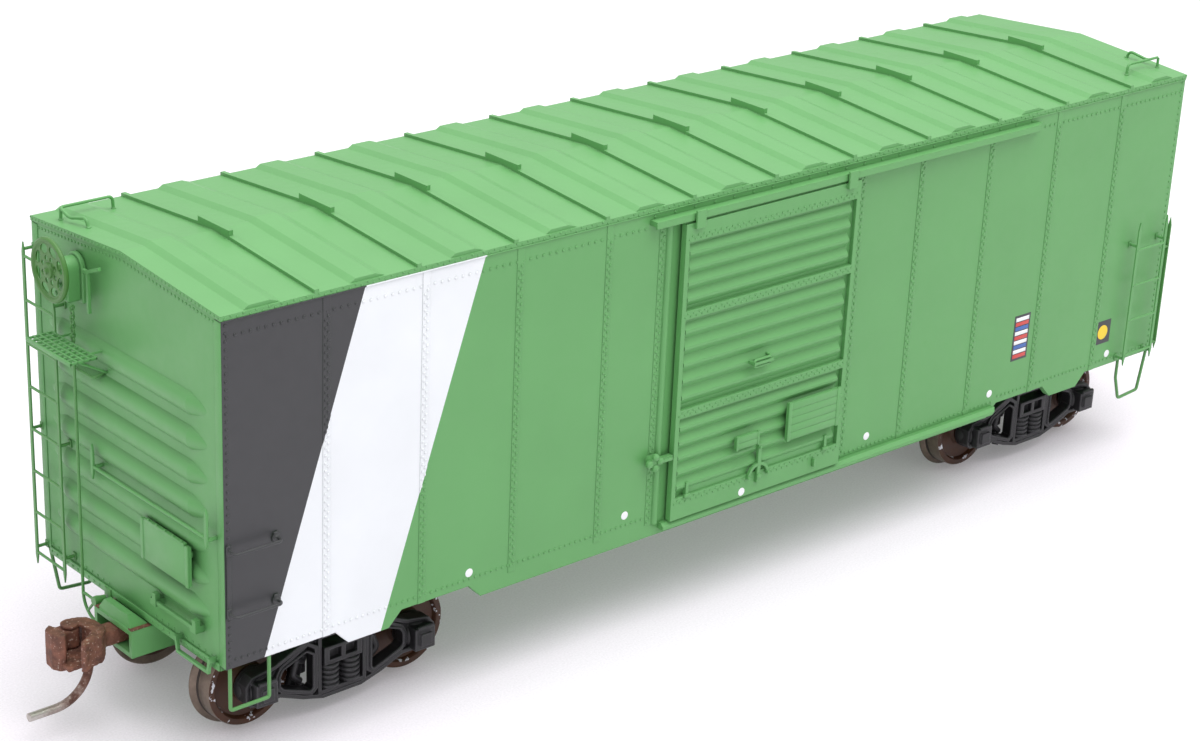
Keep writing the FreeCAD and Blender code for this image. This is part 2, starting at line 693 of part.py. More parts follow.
# cast side frame: arch and tension bars, columns, windows and journal boxes, each edge
# with a flange round the thinner web
def side_frame():
    a, gap = size.wheelbase / 2, size.frame_flange

    def at(points):
        return [(truck_x + p[0],) + tuple(p[1:]) for p in points]

    end = a + size.journal_reach
    profile = mirrored([(2.4, size.belly_z), (4.9, size.belly_z + 0.7), (a - 2.2, axle_z - 1.5), (end - 0.5, axle_z - 1.5),
                        (end, axle_z - 1.0), (end, axle_z + 0.9), (end - 0.7, axle_z + 1.8), (a - 1.6, axle_z + 2.3),
                        (size.column_x + 1.9, size.arch_z - 0.3), (size.column_x + 1.1, size.arch_z)])
    frame = plate("XZ_Plane", at(profile), size.frame_thick, frame_y)
    near, far = size.column_x + 0.85, a - 2.1
    eye = [(near, size.belly_z + 1.6), (near + 0.4, size.belly_z + 1.3), (far - 0.5, axle_z - 0.8),
           (far, axle_z - 0.3), (far, axle_z + 0.9), (far - 0.4, axle_z + 1.6), (near + 0.9, size.arch_z - 1.0),
           (near, size.arch_z - 1.6)]
    eyes = [eye, [(-p[0],) + p[1:] for p in reversed(eye)]]
    gate = rectangle(-size.column_x, size.column_x, size.belly_z + 0.9, size.arch_z - 0.7)
    web = plate("XZ_Plane", at(shifted(profile, gap, True)), size.frame_recess,
                frame_face - size.frame_recess)
    flanges = [plate("XZ_Plane", at(shifted(hole, -gap, True)), size.frame_thick, frame_y) for hole in eyes + [gate]]
    holes = [plate("XZ_Plane", at(hole), size.frame_thick * 2, frame_y - size.frame_thick / 2) for hole in eyes + [gate]]
    parts = [cut(frame, [cut(web, flanges)] + holes)]
    for x in (truck_x - a, truck_x + a):
        parts.append(plate("XZ_Plane", rectangle(x - 1.25, x + 1.25, axle_z - 1.2, axle_z + 1.3), size.lid_rise,
                           frame_face - size.frame_recess))
        parts.append(plate("XZ_Plane", rectangle(x - 0.7, x + 0.7, axle_z - 0.7, axle_z + 0.7), 0.3,
                           frame_face - size.frame_recess + size.lid_rise))
    return cut(fused(parts), [cup(truck_x - a), cup(truck_x + a)])


def truck():
    parts = [side_frame(), half_turned(side_frame())]
    seat, top = size.belly_z + 0.9, size.bolster_z + size.bolster_height
    spring_y = frame_y + size.frame_thick / 2
    for y in (-spring_y, spring_y):
        for x in (-1.3, 1.3):
            parts.append(rod("z", size.spring_radius, size.bolster_z - seat, truck_x + x, y, seat))
    reach = frame_face + 0.2
    beam = plate("YZ_Plane", mirrored([(4.0, size.bolster_z - 1.1), (frame_y - 1.5, size.bolster_z),
                                       (reach, size.bolster_z), (reach, top)]), size.column_x * 2 - 0.5,
                 truck_x - size.column_x + 0.25)
    pockets = []
    for y in (-reach - 0.2, reach - 0.7):
        for x in (-1.75, 0.25):
            pockets.append(box(truck_x + x, truck_x + x + 1.5, y, y + 0.9, size.bolster_z + 0.45, top - 0.35))
    centre = rod("z", size.pivot_radius, size.pivot_z - top + 0.5, truck_x, 0, top - 0.5)
    screw = rod("z", size.pin_radius + size.running, 8, truck_x, 0, size.pivot_z - 7)
    parts.append(cut(fused([beam, centre]), pockets + [screw]))
    # brake beams with a shoe in front of each tread
    a = size.wheelbase / 2
    shoe_x = a - size.tread_radius - size.air
    for s in (-1, 1):
        bar = [box(truck_x + s * 3.5 - 0.4, truck_x + s * 3.5 + 0.4, -rim_y + 0.2, rim_y - 0.2, 5.1, 5.8),
               box(truck_x + s * 2.9 - 0.7, truck_x + s * 2.9 + 0.7, -0.6, 0.6, 5.1, 5.8)]
        shoes = [box(truck_x + s * (shoe_x - 0.35) - 0.9, truck_x + s * (shoe_x - 0.35) + 0.9, y, y + 1.5, 4.0, 6.9)
                 for y in (0.2 + wheel_back + size.flange_width, -rim_y + 0.14)]
        tread = rod("y", size.tread_radius + size.air, rim_y * 2 + 1, truck_x + s * a, -rim_y - 0.5, axle_z)
        parts.append(cut(fused(bar + shoes), [tread]))
    return fused(parts)


# axle, wheels and needle points, turned in one piece
def wheelset(x):
    form = body()
    tread = size.tread_radius
    half = [(wheel_back, size.axle_radius), (wheel_back, tread + size.flange_depth),
            (wheel_back + size.flange_width, tread), (rim_y, tread), (rim_y, size.point_radius), (axle_end, 0)]
    spin(form, "YZ_Plane", half + [(-p[0], p[1]) for p in reversed(half)])
    put(form, x, 0, axle_z)
    return form


pair(ends("truck_frame"), truck)
for number, (s, k) in enumerate(((-1, -1), (-1, 1), (1, -1), (1, 1)), 1):
    node("wheelset_%d" % number, wheelset(-truck_x * s + size.wheelbase / 2 * k))

# ---- doors and tracks ----

door_face = half_width + size.door_gap + size.door_thick
rib_face = door_face + size.door_rib_rise
BANDS = (2.1, 12.5, 23.9, 32.6)     # riveted bands of the door, above its lower edge
RIBS = (5, 5, 4)                        # ribs between them


def door():
    left, right, low = size.door_left_x, door_right_x, size.door_bottom_z
    form = plate("XZ_Plane", rectangle(left, right, low, size.door_top_z), size.door_thick, half_width + size.door_gap)
    # a frame of bands and stiles in front of the sheet, ribbed panels sunk behind its face
    pad(form, "XZ_Plane", rectangle(left, right, low, track_low - size.air), size.door_rib_rise, door_face)
    crest, deep = size.door_rib_crest / 2, size.door_recess + size.door_rib_rise
    for first, last, count in zip(BANDS, BANDS[1:], RIBS):
        sunk(form, "XZ_Plane", rectangle(left + 0.6, right - 0.6, low + first + 0.5, low + last - 0.5), deep, rib_face)
        gap = (last - first) / (count + 1)
        z = low + first + gap
        rib = pad(form, "YZ_Plane", [(deep - rib_face, z - gap * 0.48), (deep - rib_face, z + gap * 0.48),
                                     (-rib_face, z + crest), (-rib_face, z - crest)], right - left - 2.0, left + 0.7)
        row(form, rib, "Z_Axis", gap, count)
    # pull handle and the guards over the door's wheels
    handle_z = low + BANDS[1] + (BANDS[2] - BANDS[1]) / (RIBS[1] + 1) * 2
    pull = bent("XY_Plane", [(-3.2, -rib_face), (-3.2, -rib_face - 0.8), (-0.6, -rib_face - 0.8), (-0.6, -rib_face)],
                size.wire, size.wire, handle_z - size.wire / 2)
    # the lowest valley is shallower between the straps beside the door's wheels
    near, far, sill = left + 2.2, right - 2.6, low + BANDS[0] + 0.5
    parts = [form, pull, plate("XZ_Plane", rectangle(near, far, sill, sill + 1.0), size.door_recess,
                               rib_face - deep)]
    for x in (near, far):
        parts.append(plate("XZ_Plane", rectangle(x - 0.2, x + 0.2, sill - 0.3, sill + 1.6), deep + 0.15,
                           rib_face - deep))
    # hangers that reach up in front of the track's lip
    front = door_face + size.slide_gap * 2 + size.lip_thick
    root, tip = track_low - size.air, size.door_top_z + size.slide_gap + size.track_thick + 0.3
    for x in (left + 1.05, right - 2.4):
        parts.append(plate("XZ_Plane", rectangle(x, x + 1.3, root - 0.6, root), front + 0.25 - rib_face, rib_face))
        parts.append(plate("XZ_Plane", rectangle(x, x + 1.3, root, tip), 0.25, front))
    return fused(parts)


def door_rib_z(number):
    # height of a rib between the two lowest bands
    return size.door_bottom_z + BANDS[0] + (BANDS[1] - BANDS[0]) / (RIBS[0] + 1) * number


# a bare board on feet that stand on the ribs behind it
def board(x0, x1, z0, z1, feet_x, ribs):
    back = rib_face + size.board_gap
    parts = [plate("XZ_Plane", rectangle(x0, x1, z0, z1), size.board_thick, back)]
    for x in feet_x:
        for rib in ribs:
            z = door_rib_z(rib)
            parts.append(box(x, x + 0.5, -back, -rib_face, z - 0.3, z + 0.3))
    return fused(parts)


def door_board():
    return board(2.9, 11.0, 17.6, 22.1, (3.6, 9.8), (3, 4))


def door_card():
    return board(-5.0, -1.6, 18.5, 20.0, (-4.6, -2.6), (3,))


def door_lock():
    # lever with its quadrant
    lever = plate("XZ_Plane", rectangle(-1.15, -0.65, door_rib_z(0) - 0.75, 18.2), size.wire, rib_face)
    arc = [(-0.9 + 1.5 * math.cos(math.radians(t)), 14.2 + 1.5 * math.sin(math.radians(t))) for t in range(0, 181, 20)]
    return fused([lever, bent("XZ_Plane", arc, 0.35, size.wire, rib_face)])


def track_upper():
    top = size.door_top_z + size.slide_gap
    inner = door_face + size.slide_gap
    outer = inner + size.lip_thick
    high = top + size.track_thick
    rail = plate("YZ_Plane", [(-half_width, top), (-half_width, high), (-outer, high), (-outer, track_low),
                              (-inner, track_low), (-inner, top)], size.track_end_x - size.track_start_x,
                 size.track_start_x)
    stop = plate("XZ_Plane", rectangle(size.track_end_x, size.track_end_x + 0.9, track_low, high), 0.7, half_width)
    return fused([rail, stop])


def track_lower():
    # a ledge on the foot of the side, cut back where the deep sill rises
    deep, low = size.deep_sill_length / 2, ledge_top - size.ledge_height
    ledge = plate("XZ_Plane", [(post_x + 0.6, low), (deep, low), (deep + size.ledge_height, ledge_top),
                               (post_x + 0.6, ledge_top)], size.ledge_reach, half_width)
    top, face = ledge_top.number, -(half_width + size.ledge_reach).number

    def nose(edge):
        return all(v.Point.z > top - 1e-4 and v.Point.y < face + 1e-4 for v in edge.Vertexes)

    dress(ledge, "Chamfer", size.ledge_reach * 0.4, nose)
    return ledge


for stem, build in (("door", door), ("door_board", door_board), ("door_card", door_card), ("door_lock", door_lock),
                    ("track_upper", track_upper), ("track_lower", track_lower)):
    pair(sides(stem), build)

# ---- ladders, grabs, steps and boards ----


# a flat ladder: its rungs are what the row of windows leaves; feet are heights of its brackets
def ladder(role, right, low_rung, rungs, feet, face, cut_z=None):
    bar, step = size.wire, size.rung_pitch
    left, half = right - size.ladder_width, bar / 2
    low, high = low_rung - 1.4, low_rung + step * (rungs - 1) + 1.5
    plane = face + size.stand_off
    form = plate(role, rectangle(left, right, low, high), bar, plane - half if role == "XZ_Plane" else -plane - half)
    opening = window(form, role, rectangle(left + bar, right - bar, low_rung + half, low_rung + step - half))
    row(form, opening, "Z_Axis", step, rungs - 1)
    window(form, role, rectangle(left + bar, right - bar, low - 1, low_rung - half))
    window(form, role, rectangle(left + bar, right - bar, high - 1.5 + half, high + 1))
    if cut_z is not None:
        # the inner stile stops short under the hand brake; a bracket takes the top rung
        window(form, role, rectangle(left - 0.1, left + bar, cut_z, high - 1.5 - half))
        window(form, role, rectangle(left - 0.1, left + bar, high - 1.5 + half, high + 1))
    parts = [form]
    for spot, heights in ((left, feet[0]), (right - bar, feet[1])):
        for z in heights:
            if role == "XZ_Plane":
                parts.append(box(spot, spot + bar, -plane, -face, z - half, z + half))
            else:
                parts.append(box(-plane, -face, spot, spot + bar, z - half, z + half))
    return parts


def between_ribs(number):
    return size.end_rib_low + size.end_rib_pitch * (number + 0.5)


def end_ladder_brake():
    top = size.end_rung_low_z + size.rung_pitch * 7
    parts = ladder("YZ_Plane", half_width, size.end_rung_low_z, 8,
                   ((13.2, between_ribs(2), 41.0, top), (12.4, top + 0.7)), half_length, 41.6)
    # a long rung above the sixth runs on towards the brake rod
    z, x = between_ribs(5) - 0.7, half_length + size.stand_off
    parts.append(box(-x - size.wire / 2, size.wire / 2 - x, 3.7, half_width - size.ladder_width, z - 0.2, z + 0.2))
    parts.append(box(-x, -half_length, 3.7, 4.1, z + 0.2, z + 0.5))
    return parts


def end_ladder_plain():
    return ladder("YZ_Plane", half_width, size.rung_low_z, 4, ((12.9, between_ribs(2)), (12.9, between_ribs(2))),
                  half_length)


def side_ladder(rungs):
    top = size.rung_low_z + size.rung_pitch * (rungs - 1) + 0.8
    return ladder("XZ_Plane", half_length - size.ladder_inset, size.rung_low_z, rungs, ((12.8, top), (12.8, top)),
                  half_width)


for label, parts, angle in (("ladder_end_brake", end_ladder_brake(), 0), ("ladder_end_plain", end_ladder_plain(), 180),
                            ("ladder_side_left", side_ladder(4), 0), ("ladder_side_right", side_ladder(7), 180)):
    obj = fused(parts)
    obj.Placement = Placement(Vector(), Rotation(Vector(0, 0, 1), angle))
    node(label, obj)


def side_grabs():
    x0, x1 = -half_length + 0.4, -half_length + 5.8
    out = -half_width - size.stand_off
    parts = [plate("XZ_Plane", rectangle(x0 - 0.25, x0 + 0.25, 17.6, 25.3), 0.15, half_width)]
    for z in (18.1, 24.8):
        parts.append(bent("XY_Plane", [(x0, -half_width), (x0, out), (x1, out), (x1, -half_width)], size.wire, size.wire,
                          z - size.wire / 2))
        parts.append(rod("y", 0.5, 0.4, x1, -half_width - 0.4, z))
    return fused(parts)


def sill_step(x0, x1):
    return bent("XZ_Plane", [(x0, size.sill_z), (x0, size.step_z), (x1, size.step_z), (x1, size.sill_z)], size.wire,
                size.wire, half_width - 0.5)


def outer_step():
    return sill_step(-half_length + 0.6, -half_length + 5.2)


def inner_step():
    return sill_step(half_length - 5.9, half_length - 2.1)


def end_rail():
    # a long rail, held off the ribs by an upright strap at each end
    plane, foot_z = half_length + 1.1, between_ribs(2)
    parts = [box(-plane - size.wire / 2, size.wire / 2 - plane, -14.6, 4.9, foot_z - 0.2, foot_z + 0.2)]
    for y in (-14.7, 4.7):
        parts.append(box(-plane - size.wire / 2, size.wire / 2 - plane, y, y + size.wire, foot_z - 2.4, foot_z + 2.2))
        parts.append(box(-plane, -half_length, y, y + size.wire, foot_z - 0.2, foot_z + 0.2))
    return fused(parts)


def placard():
    back = half_length + size.end_rib_radius - size.end_rib_depth + 0.1
    z = between_ribs(1)
    parts = [plate("YZ_Plane", rectangle(-12.2, -3.9, z - 2.9, z + 1.3), size.board_thick, -back - size.board_thick)]
    for y in (-11.4, -5.1):
        parts.append(box(-back, -half_length, y, y + 0.8, z - 0.3, z + 0.3))
    return fused(parts)


def end_board():
    back = half_length + size.end_rib_radius - size.end_rib_depth + 0.1
    # a low bar between two clamps
    parts = [box(-back - 0.3, -back, -12.6, -5.7, 15.0, 15.4)]
    for y in (-13.2, -6.1):
        parts.append(box(-back - 0.4, -half_length, y, y + 1.0, 14.8, 15.5))
        parts.append(box(-back - 0.4, 0.2 - back, y, y + 0.6, 15.5, 16.2))
    return fused(parts)


def roof_grab():
    x, y, z = -half_length + 1.3, half_width - 3.5, size.eave_z + size.roof_rise + 0.8
    path = [(x + 5.6, y), (x, y), (x + 0.6, y - 4.0)]
    parts = [bent("XY_Plane", path, size.wire, size.wire, z - size.wire / 2)]
    for u, v in path:
        foot = []
        for w in (v - size.wire / 2, v + size.wire / 2):
            foot.append((w, roof_line(w) + size.roof_thick))
        parts.append(plate("YZ_Plane", foot + [(v + size.wire / 2, z), (v - size.wire / 2, z)], size.wire, u - size.wire / 2))
    return fused(parts)


pair(sides("grabs"), side_grabs)
for stem, build in (("end_rail", end_rail), ("placard", placard), ("end_board", end_board), ("roof_grab", roof_grab)):
    pair(ends(stem), build)
pair(("step_left_brake", "step_right_plain"), outer_step)
pair(("step_left_plain", "step_right_brake"), inner_step)

# ---- hand brake, at the brake end only ----

brake_x = -half_length - size.brake_out
rod_x = -half_length - size.stand_off - size.wire * 1.5


# wheel with a dished web: a ring of windows between the spokes, a ring of holes round the hub
def brake_wheel():
    rim, form = size.brake_wheel_radius.number, body()
    spin(form, "XZ_Plane", [(0.25, 0), (0.25, rim), (-0.3, rim), (-0.3, rim - 0.5), (0, rim - 0.5), (0, 0.6),
                            (-0.4, 0.6), (-0.4, 0)])
    for count, points in ((8, [polar(rim - 1.55, -14), polar(rim - 0.6, -16), polar(rim - 0.6, 16),
                               polar(rim - 1.55, 14)]),
                          (6, [(1.15 + polar(0.32, t)[0], polar(0.32, t)[1]) for t in range(0, 360, 60)])):
        hole = window(form, "YZ_Plane", points)
        ring(form, hole, hole.Profile[0], count)
    put(form, brake_x, size.brake_y, size.brake_wheel_z)
    shaft = rod("x", 0.5, size.brake_out - size.housing_depth, brake_x, size.brake_y, size.brake_wheel_z)
    return fused([form, shaft])


def brake_housing():
    left, right, low, top = size.brake_y - 2.3, size.brake_y + 1.5, size.brake_wheel_z - 3.8, size.brake_wheel_z + 1.6
    form = body()
    for grow, radius, thick in ((0.0, 1.2, size.housing_depth), (0.35, 1.4, dim(0.35))):
        pad(form, "YZ_Plane", [(left - grow, low), (right + grow, low), (right + grow, top + grow, radius),
                               (left - grow, top + grow, radius)], thick, -half_length - thick)
    return form


def brake_lever():
    y, z = size.brake_y - 2.3, size.brake_wheel_z + 0.2
    up = -half_length - 1.2
    return fused([bent("YZ_Plane", [(y, z), (y - 0.6, z), (y - 3.0, z + 1.0)], size.wire, size.wire, up),
                  bent("YZ_Plane", [(y - 0.8, z), (y - 0.8, z - 4.2)], size.wire, size.wire, up)])


def brake_rod():
    top, low = size.brake_wheel_z - 3.8, size.end_sill_z - 0.7
    y = size.brake_y - 0.5
    return bent("YZ_Plane", [(y, top), (y, top - 1.5), (y + 1.9, low + 2.0), (y + 1.9, low)], size.wire, size.wire,
                rod_x - size.wire / 2)


def brake_sheave():
    hub_y, hub_z, radius = size.brake_y - 0.1, size.end_sill_z - 0.9, size.sheave_radius
    rim = body()
    spin(rim, "XZ_Plane", [(0, -radius), (size.wire, -radius), (size.wire, size.wire - radius), (0, size.wire - radius)], 90)
    rim.Placement = Placement(Vector(), Rotation(Vector(1, 0, 0), 45))
    put(rim, rod_x - size.wire / 2, hub_y, hub_z)
    parts = [rim, rod("x", 0.45, -half_length - rod_x + size.wire / 2, rod_x - size.wire / 2, hub_y, hub_z)]
    for angle in (-2, -32, -62, -88):
        along, down = polar(radius.number - 0.2, angle)
        parts.append(bent("YZ_Plane", [(hub_y, hub_z), (hub_y + along, hub_z + down)], 0.3, size.wire, rod_x - size.wire / 2))
    # hanger on the end sheet
    parts.append(box(-half_length - 0.4, -half_length, hub_y - 0.45, hub_y + 0.45, hub_z - 0.45, size.end_sill_z + 1.2))
    return fused(parts)


def brake_platform():
    back, top = rod_x + size.wire / 2, size.platform_z
    left, right = size.brake_y - 5.9, size.brake_y + 2.5
    form = plate("XY_Plane", rectangle(rod_x - 3.2, rod_x - size.wire / 2, left, right), 0.3, top)
    slot = window(form, "XY_Plane", rectangle(rod_x - 2.9, rod_x - size.wire / 2 - 0.35, left + 0.35, left + 0.8))
    row(form, slot, "Y_Axis", 0.9, 9)
    # gussets under the boards, their feet between two ribs of the end
    low, clear = between_ribs(5), size.end_rib_radius - size.end_rib_depth + 0.2
    parts = [form]
    for y in (left + 0.825, left + 7.125):
        parts.append(plate("XZ_Plane", [(-half_length, low - 0.5), (-half_length, low + 0.4),
                                        (-half_length - clear, low + 0.4), (-half_length - clear, top),
                                        (rod_x - 2.8, top), (rod_x - 2.8, top - 0.4),
                                        (-half_length - clear, low - 0.5)], size.wire, -y - size.wire))
    return fused(parts)


node("brake_wheel", brake_wheel())
node("brake_housing", brake_housing())
node("brake_lever", brake_lever())
node("brake_chain", brake_rod())
node("brake_sheave", brake_sheave())
node("brake_platform", brake_platform())

# ---- check and write ----

doc.recompute()
bad = []
for obj in doc.Objects:
    if "Invalid" in obj.State or "Error" in obj.State:
        bad.append(obj.Label + " state")
for obj in pieces:
    shape = obj.Shape
    if shape.isNull() or not shape.isValid() or not shape.Solids:
        bad.append(obj.Label)
    elif len(shape.Solids) != 1:
        print("note:", obj.Label, "has", len(shape.Solids), "solids")
if bad:
    raise SystemExit("failed: " + ", ".join(bad))
os.makedirs("parts", exist_ok=True)
for obj in pieces:
    obj.Shape.exportStep("parts/%s.step" % obj.Label)
print(len(pieces), "nodes")
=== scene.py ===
import bpy
import math
from mathutils import Matrix, Vector


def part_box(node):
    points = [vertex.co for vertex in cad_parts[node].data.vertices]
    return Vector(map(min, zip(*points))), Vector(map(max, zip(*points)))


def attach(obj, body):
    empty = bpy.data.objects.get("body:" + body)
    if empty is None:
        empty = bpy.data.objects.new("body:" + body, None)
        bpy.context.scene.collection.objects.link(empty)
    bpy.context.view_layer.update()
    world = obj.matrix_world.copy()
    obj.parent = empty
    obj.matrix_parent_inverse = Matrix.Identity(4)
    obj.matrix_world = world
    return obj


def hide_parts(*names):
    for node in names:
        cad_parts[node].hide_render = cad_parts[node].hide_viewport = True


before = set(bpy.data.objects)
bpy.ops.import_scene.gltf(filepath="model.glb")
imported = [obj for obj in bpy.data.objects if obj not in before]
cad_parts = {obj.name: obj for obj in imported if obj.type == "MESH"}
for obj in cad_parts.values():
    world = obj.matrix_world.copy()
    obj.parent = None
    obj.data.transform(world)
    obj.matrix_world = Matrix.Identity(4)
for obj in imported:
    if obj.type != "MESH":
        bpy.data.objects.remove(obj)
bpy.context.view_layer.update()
bpy.ops.object.select_all(action="DESELECT")
scene = bpy.context.scene
scene.view_settings.view_transform = "Standard"
mm = .001  # pieces are shaped in millimetres and brought to metres when finished
print("frame loaded:", len(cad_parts), "nodes")


cameraValues = {
    "target": (-14.67, 0, 18.74),
    "distance": 295.8,
    "azimuth": -41.28,
    "elevation": 23.48,
    "roll": 2.27,
    "lens": 79.01,
    "shift": (.03326, .03656),
}


def placeCamera(values):
    azimuth, elevation = math.radians(values["azimuth"]), math.radians(values["elevation"])
    back = Vector((math.sin(azimuth) * math.cos(elevation), -math.cos(azimuth) * math.cos(elevation),
                   math.sin(elevation)))
    turn = back.to_track_quat("Z", "Y").to_matrix() @ Matrix.Rotation(math.radians(values["roll"]), 3, "Z")
    bpy.ops.object.camera_add(location=(Vector(values["target"]) + back * values["distance"]) * mm,
                              rotation=turn.to_euler())
    camera = bpy.context.object
    camera.data.sensor_width = 36
    camera.data.lens = values["lens"]
    camera.data.shift_x, camera.data.shift_y = values["shift"]
    camera.data.clip_start = .01
    scene.camera = camera


def linear(code):
    parts = [int(code[n:n + 2], 16) / 255 for n in (0, 2, 4)]
    return [p / 12.92 if p <= .04045 else ((p + .055) / 1.055) ** 2.4 for p in parts] + [1]


# a node or socket is linked, a node by its first output in use; all else is set on the node or its input
def setNode(tree, node, settings):
    for name, value in settings.items():
        if isinstance(value, bpy.types.Node):
            value = next(output for output in value.outputs if output.enabled)
        if isinstance(value, bpy.types.NodeSocket):
            tree.links.new(value, node.inputs[name])
        elif isinstance(name, str) and hasattr(node, name):
            setattr(node, name, value)
        else:
            node.inputs[name].default_value = value
    return node


def addNode(tree, kind, settings):
    return setNode(tree, tree.nodes.new("ShaderNode" + kind), settings)


def startMaterial(name):
    material = bpy.data.materials.new(name)
    material.use_nodes = True
    tree = material.node_tree
    return material, tree, tree.nodes["Principled BSDF"], addNode(tree, "TexCoord", {}).outputs["Object"]


# lighter and darker clouds of a noise over a colour
def mottled(tree, surface, noise, low, high, start=.3, end=.7):
    tone = addNode(tree, "MapRange", {"Value": noise, "From Min": start, "From Max": end, "To Min": low,
                                      "To Max": high})
    return addNode(tree, "Mix", {"data_type": "RGBA", "blend_type": "MULTIPLY", 0: 1, 6: surface, 7: tone})


# fine relief of a skin, its grain and depth in millimetres, over softened edges where there are some
def grained(tree, shader, place, size, detail, depth, strength, edges=None):
    grain = addNode(tree, "TexNoise", {"Vector": place, "Scale": 1000 / size, "Detail": detail})
    bump = addNode(tree, "Bump", {"Height": grain, "Strength": strength, "Distance": depth * mm})
    if edges:
        setNode(tree, bump, {"Normal": edges})
    setNode(tree, shader, {"Normal": bump})


studioValues = {
    "skyLow": .38,          # world, at the horizon and under it
    "skyHigh": 1.26,        # and overhead, so that what leans up is lighter than what leans down
    "keyPower": 2.42,       # big soft lamp overhead, watts
    "keySize": .6,
    "keyPlace": (.02, -.16, .6),
    "keyAim": (-.01, 0, .02),
    "floorColour": "E1E0E2",
    "floorNearCounterTint": "E3DDE5",  # painted counter-tint: the paper close to the car, tinted to cancel the green light the car throws on it
    "nearReach": (.1, .19),  # metres from the middle, where one passes into the other
    "floorLift": .17,       # white added to the paper in the camera's eyes, none of it lights the car
    "floorSize": 6,
}


def lightStudio(values):
    world = bpy.data.worlds.new("Studio")
    scene.world = world
    world.use_nodes = True
    tree = world.node_tree
    tree.nodes.clear()
    path = addNode(tree, "LightPath", {})
    seen = addNode(tree, "Math", {"operation": "MAXIMUM", 0: path.outputs["Is Camera Ray"],
                                  1: path.outputs["Is Transmission Ray"]})
    rise = addNode(tree, "SeparateXYZ", {0: addNode(tree, "TexCoord", {}).outputs["Generated"]})
    glow = addNode(tree, "MapRange", {"Value": rise.outputs["Z"], "From Min": -.1, "From Max": .9,
                                      "To Min": values["skyLow"], "To Max": values["skyHigh"]})
    plain = addNode(tree, "Background", {"Color": (1, 1, 1, 1), "Strength": glow})
    white = addNode(tree, "Background", {"Color": (1, 1, 1, 1), "Strength": 1})
    addNode(tree, "OutputWorld", {"Surface": addNode(tree, "MixShader", {0: seen, 1: plain, 2: white})})
    bpy.ops.object.light_add(type="AREA", location=values["keyPlace"])
    key = bpy.context.object
    key.data.shape = "DISK"
    key.data.size = values["keySize"]
    key.data.energy = values["keyPower"]
    back = Vector(values["keyPlace"]) - Vector(values["keyAim"])
    key.rotation_euler = back.to_track_quat("Z", "Y").to_euler()
    bpy.ops.mesh.primitive_plane_add(size=values["floorSize"])
    floor = bpy.context.object
    floor.name = "floor"
    floor.data.materials.append(paperMaterial(values))


def paperMaterial(values):
    # seamless studio paper: dull, with a fine tooth
    material, tree, shader, place = startMaterial("SeamlessPaper")
    reach = addNode(tree, "VectorMath", {"operation": "LENGTH", 0: place})
    near, far = values["nearReach"]
    # painted counter-tint: near the car the paper leans to mauve, cancelling the green light the car bounces onto it
    away = addNode(tree, "MapRange", {"interpolation_type": "SMOOTHSTEP", "Value": reach, "From Min": near,
                                      "From Max": far})
    tint = addNode(tree, "Mix", {"data_type": "RGBA", 0: away, 6: linear(values["floorNearCounterTint"]),
                                 7: linear(values["floorColour"])})
    fibre = addNode(tree, "TexNoise", {"Vector": place, "Scale": 4200, "Detail": 2})
    path = addNode(tree, "LightPath", {})
    seen = addNode(tree, "Math", {"operation": "MAXIMUM", 0: path.outputs["Is Camera Ray"],
                                  1: path.outputs["Is Glossy Ray"]})
    lift = addNode(tree, "Math", {"operation": "MULTIPLY", 0: seen, 1: values["floorLift"]})
    setNode(tree, shader, {"Base Color": mottled(tree, tint, fibre, .93, 1.05), "Roughness": .85,
                           "Specular IOR Level": .1, "Emission Color": (1, 1, 1, 1), "Emission Strength": lift})
    grained(tree, shader, place, .4, 2, .05, .15)
    return material


placeCamera(cameraValues)
lightStudio(studioValues)
print("camera and studio placed")


# satin enamel over moulded styrene: even colour, soft sheen, slight mottle of the spray coat
paintValues = {
    "green": "62A25F",
    "wire": "5A9553",       # the separate fine mouldings took the coat a little darker
    "wheel": "467A34",      # and the brake wheel darker still
    "black": "38393B",
    "white": "EBEFF2",
    "roughness": .42,
    "mottleSize": 9,        # mm, clouds of the spray coat
    "mottleDepth": .03,
    "peelSize": .22,        # mm, orange peel, coarser than life so that it shows
    "peelDepth": .005,
    "edge": .1,             # mm, radius of a moulded edge under paint
    # painted shade: how far it reaches, how dark it goes and its darker green, mixed in by ambient occlusion
    "paintedShadeReach": .8,            # mm, reach of the painted shade beside a seam
    "paintedShadeDepth": .2,
    "paintedShadeTone": "27502A",
    "dust": "D9DCCF",
    "dustDepth": .05,
    "speckSize": 1.3,       # mm, patches of the dust
}

# two plain bands at the ends of the sides, their edges slanted, the black one outermost
bandValues = {
    "blackEdge": 60.4,      # mm from the middle, at mid height
    "whiteEdge": 45.8,
    "slant": .33,
    "middle": 30,
}


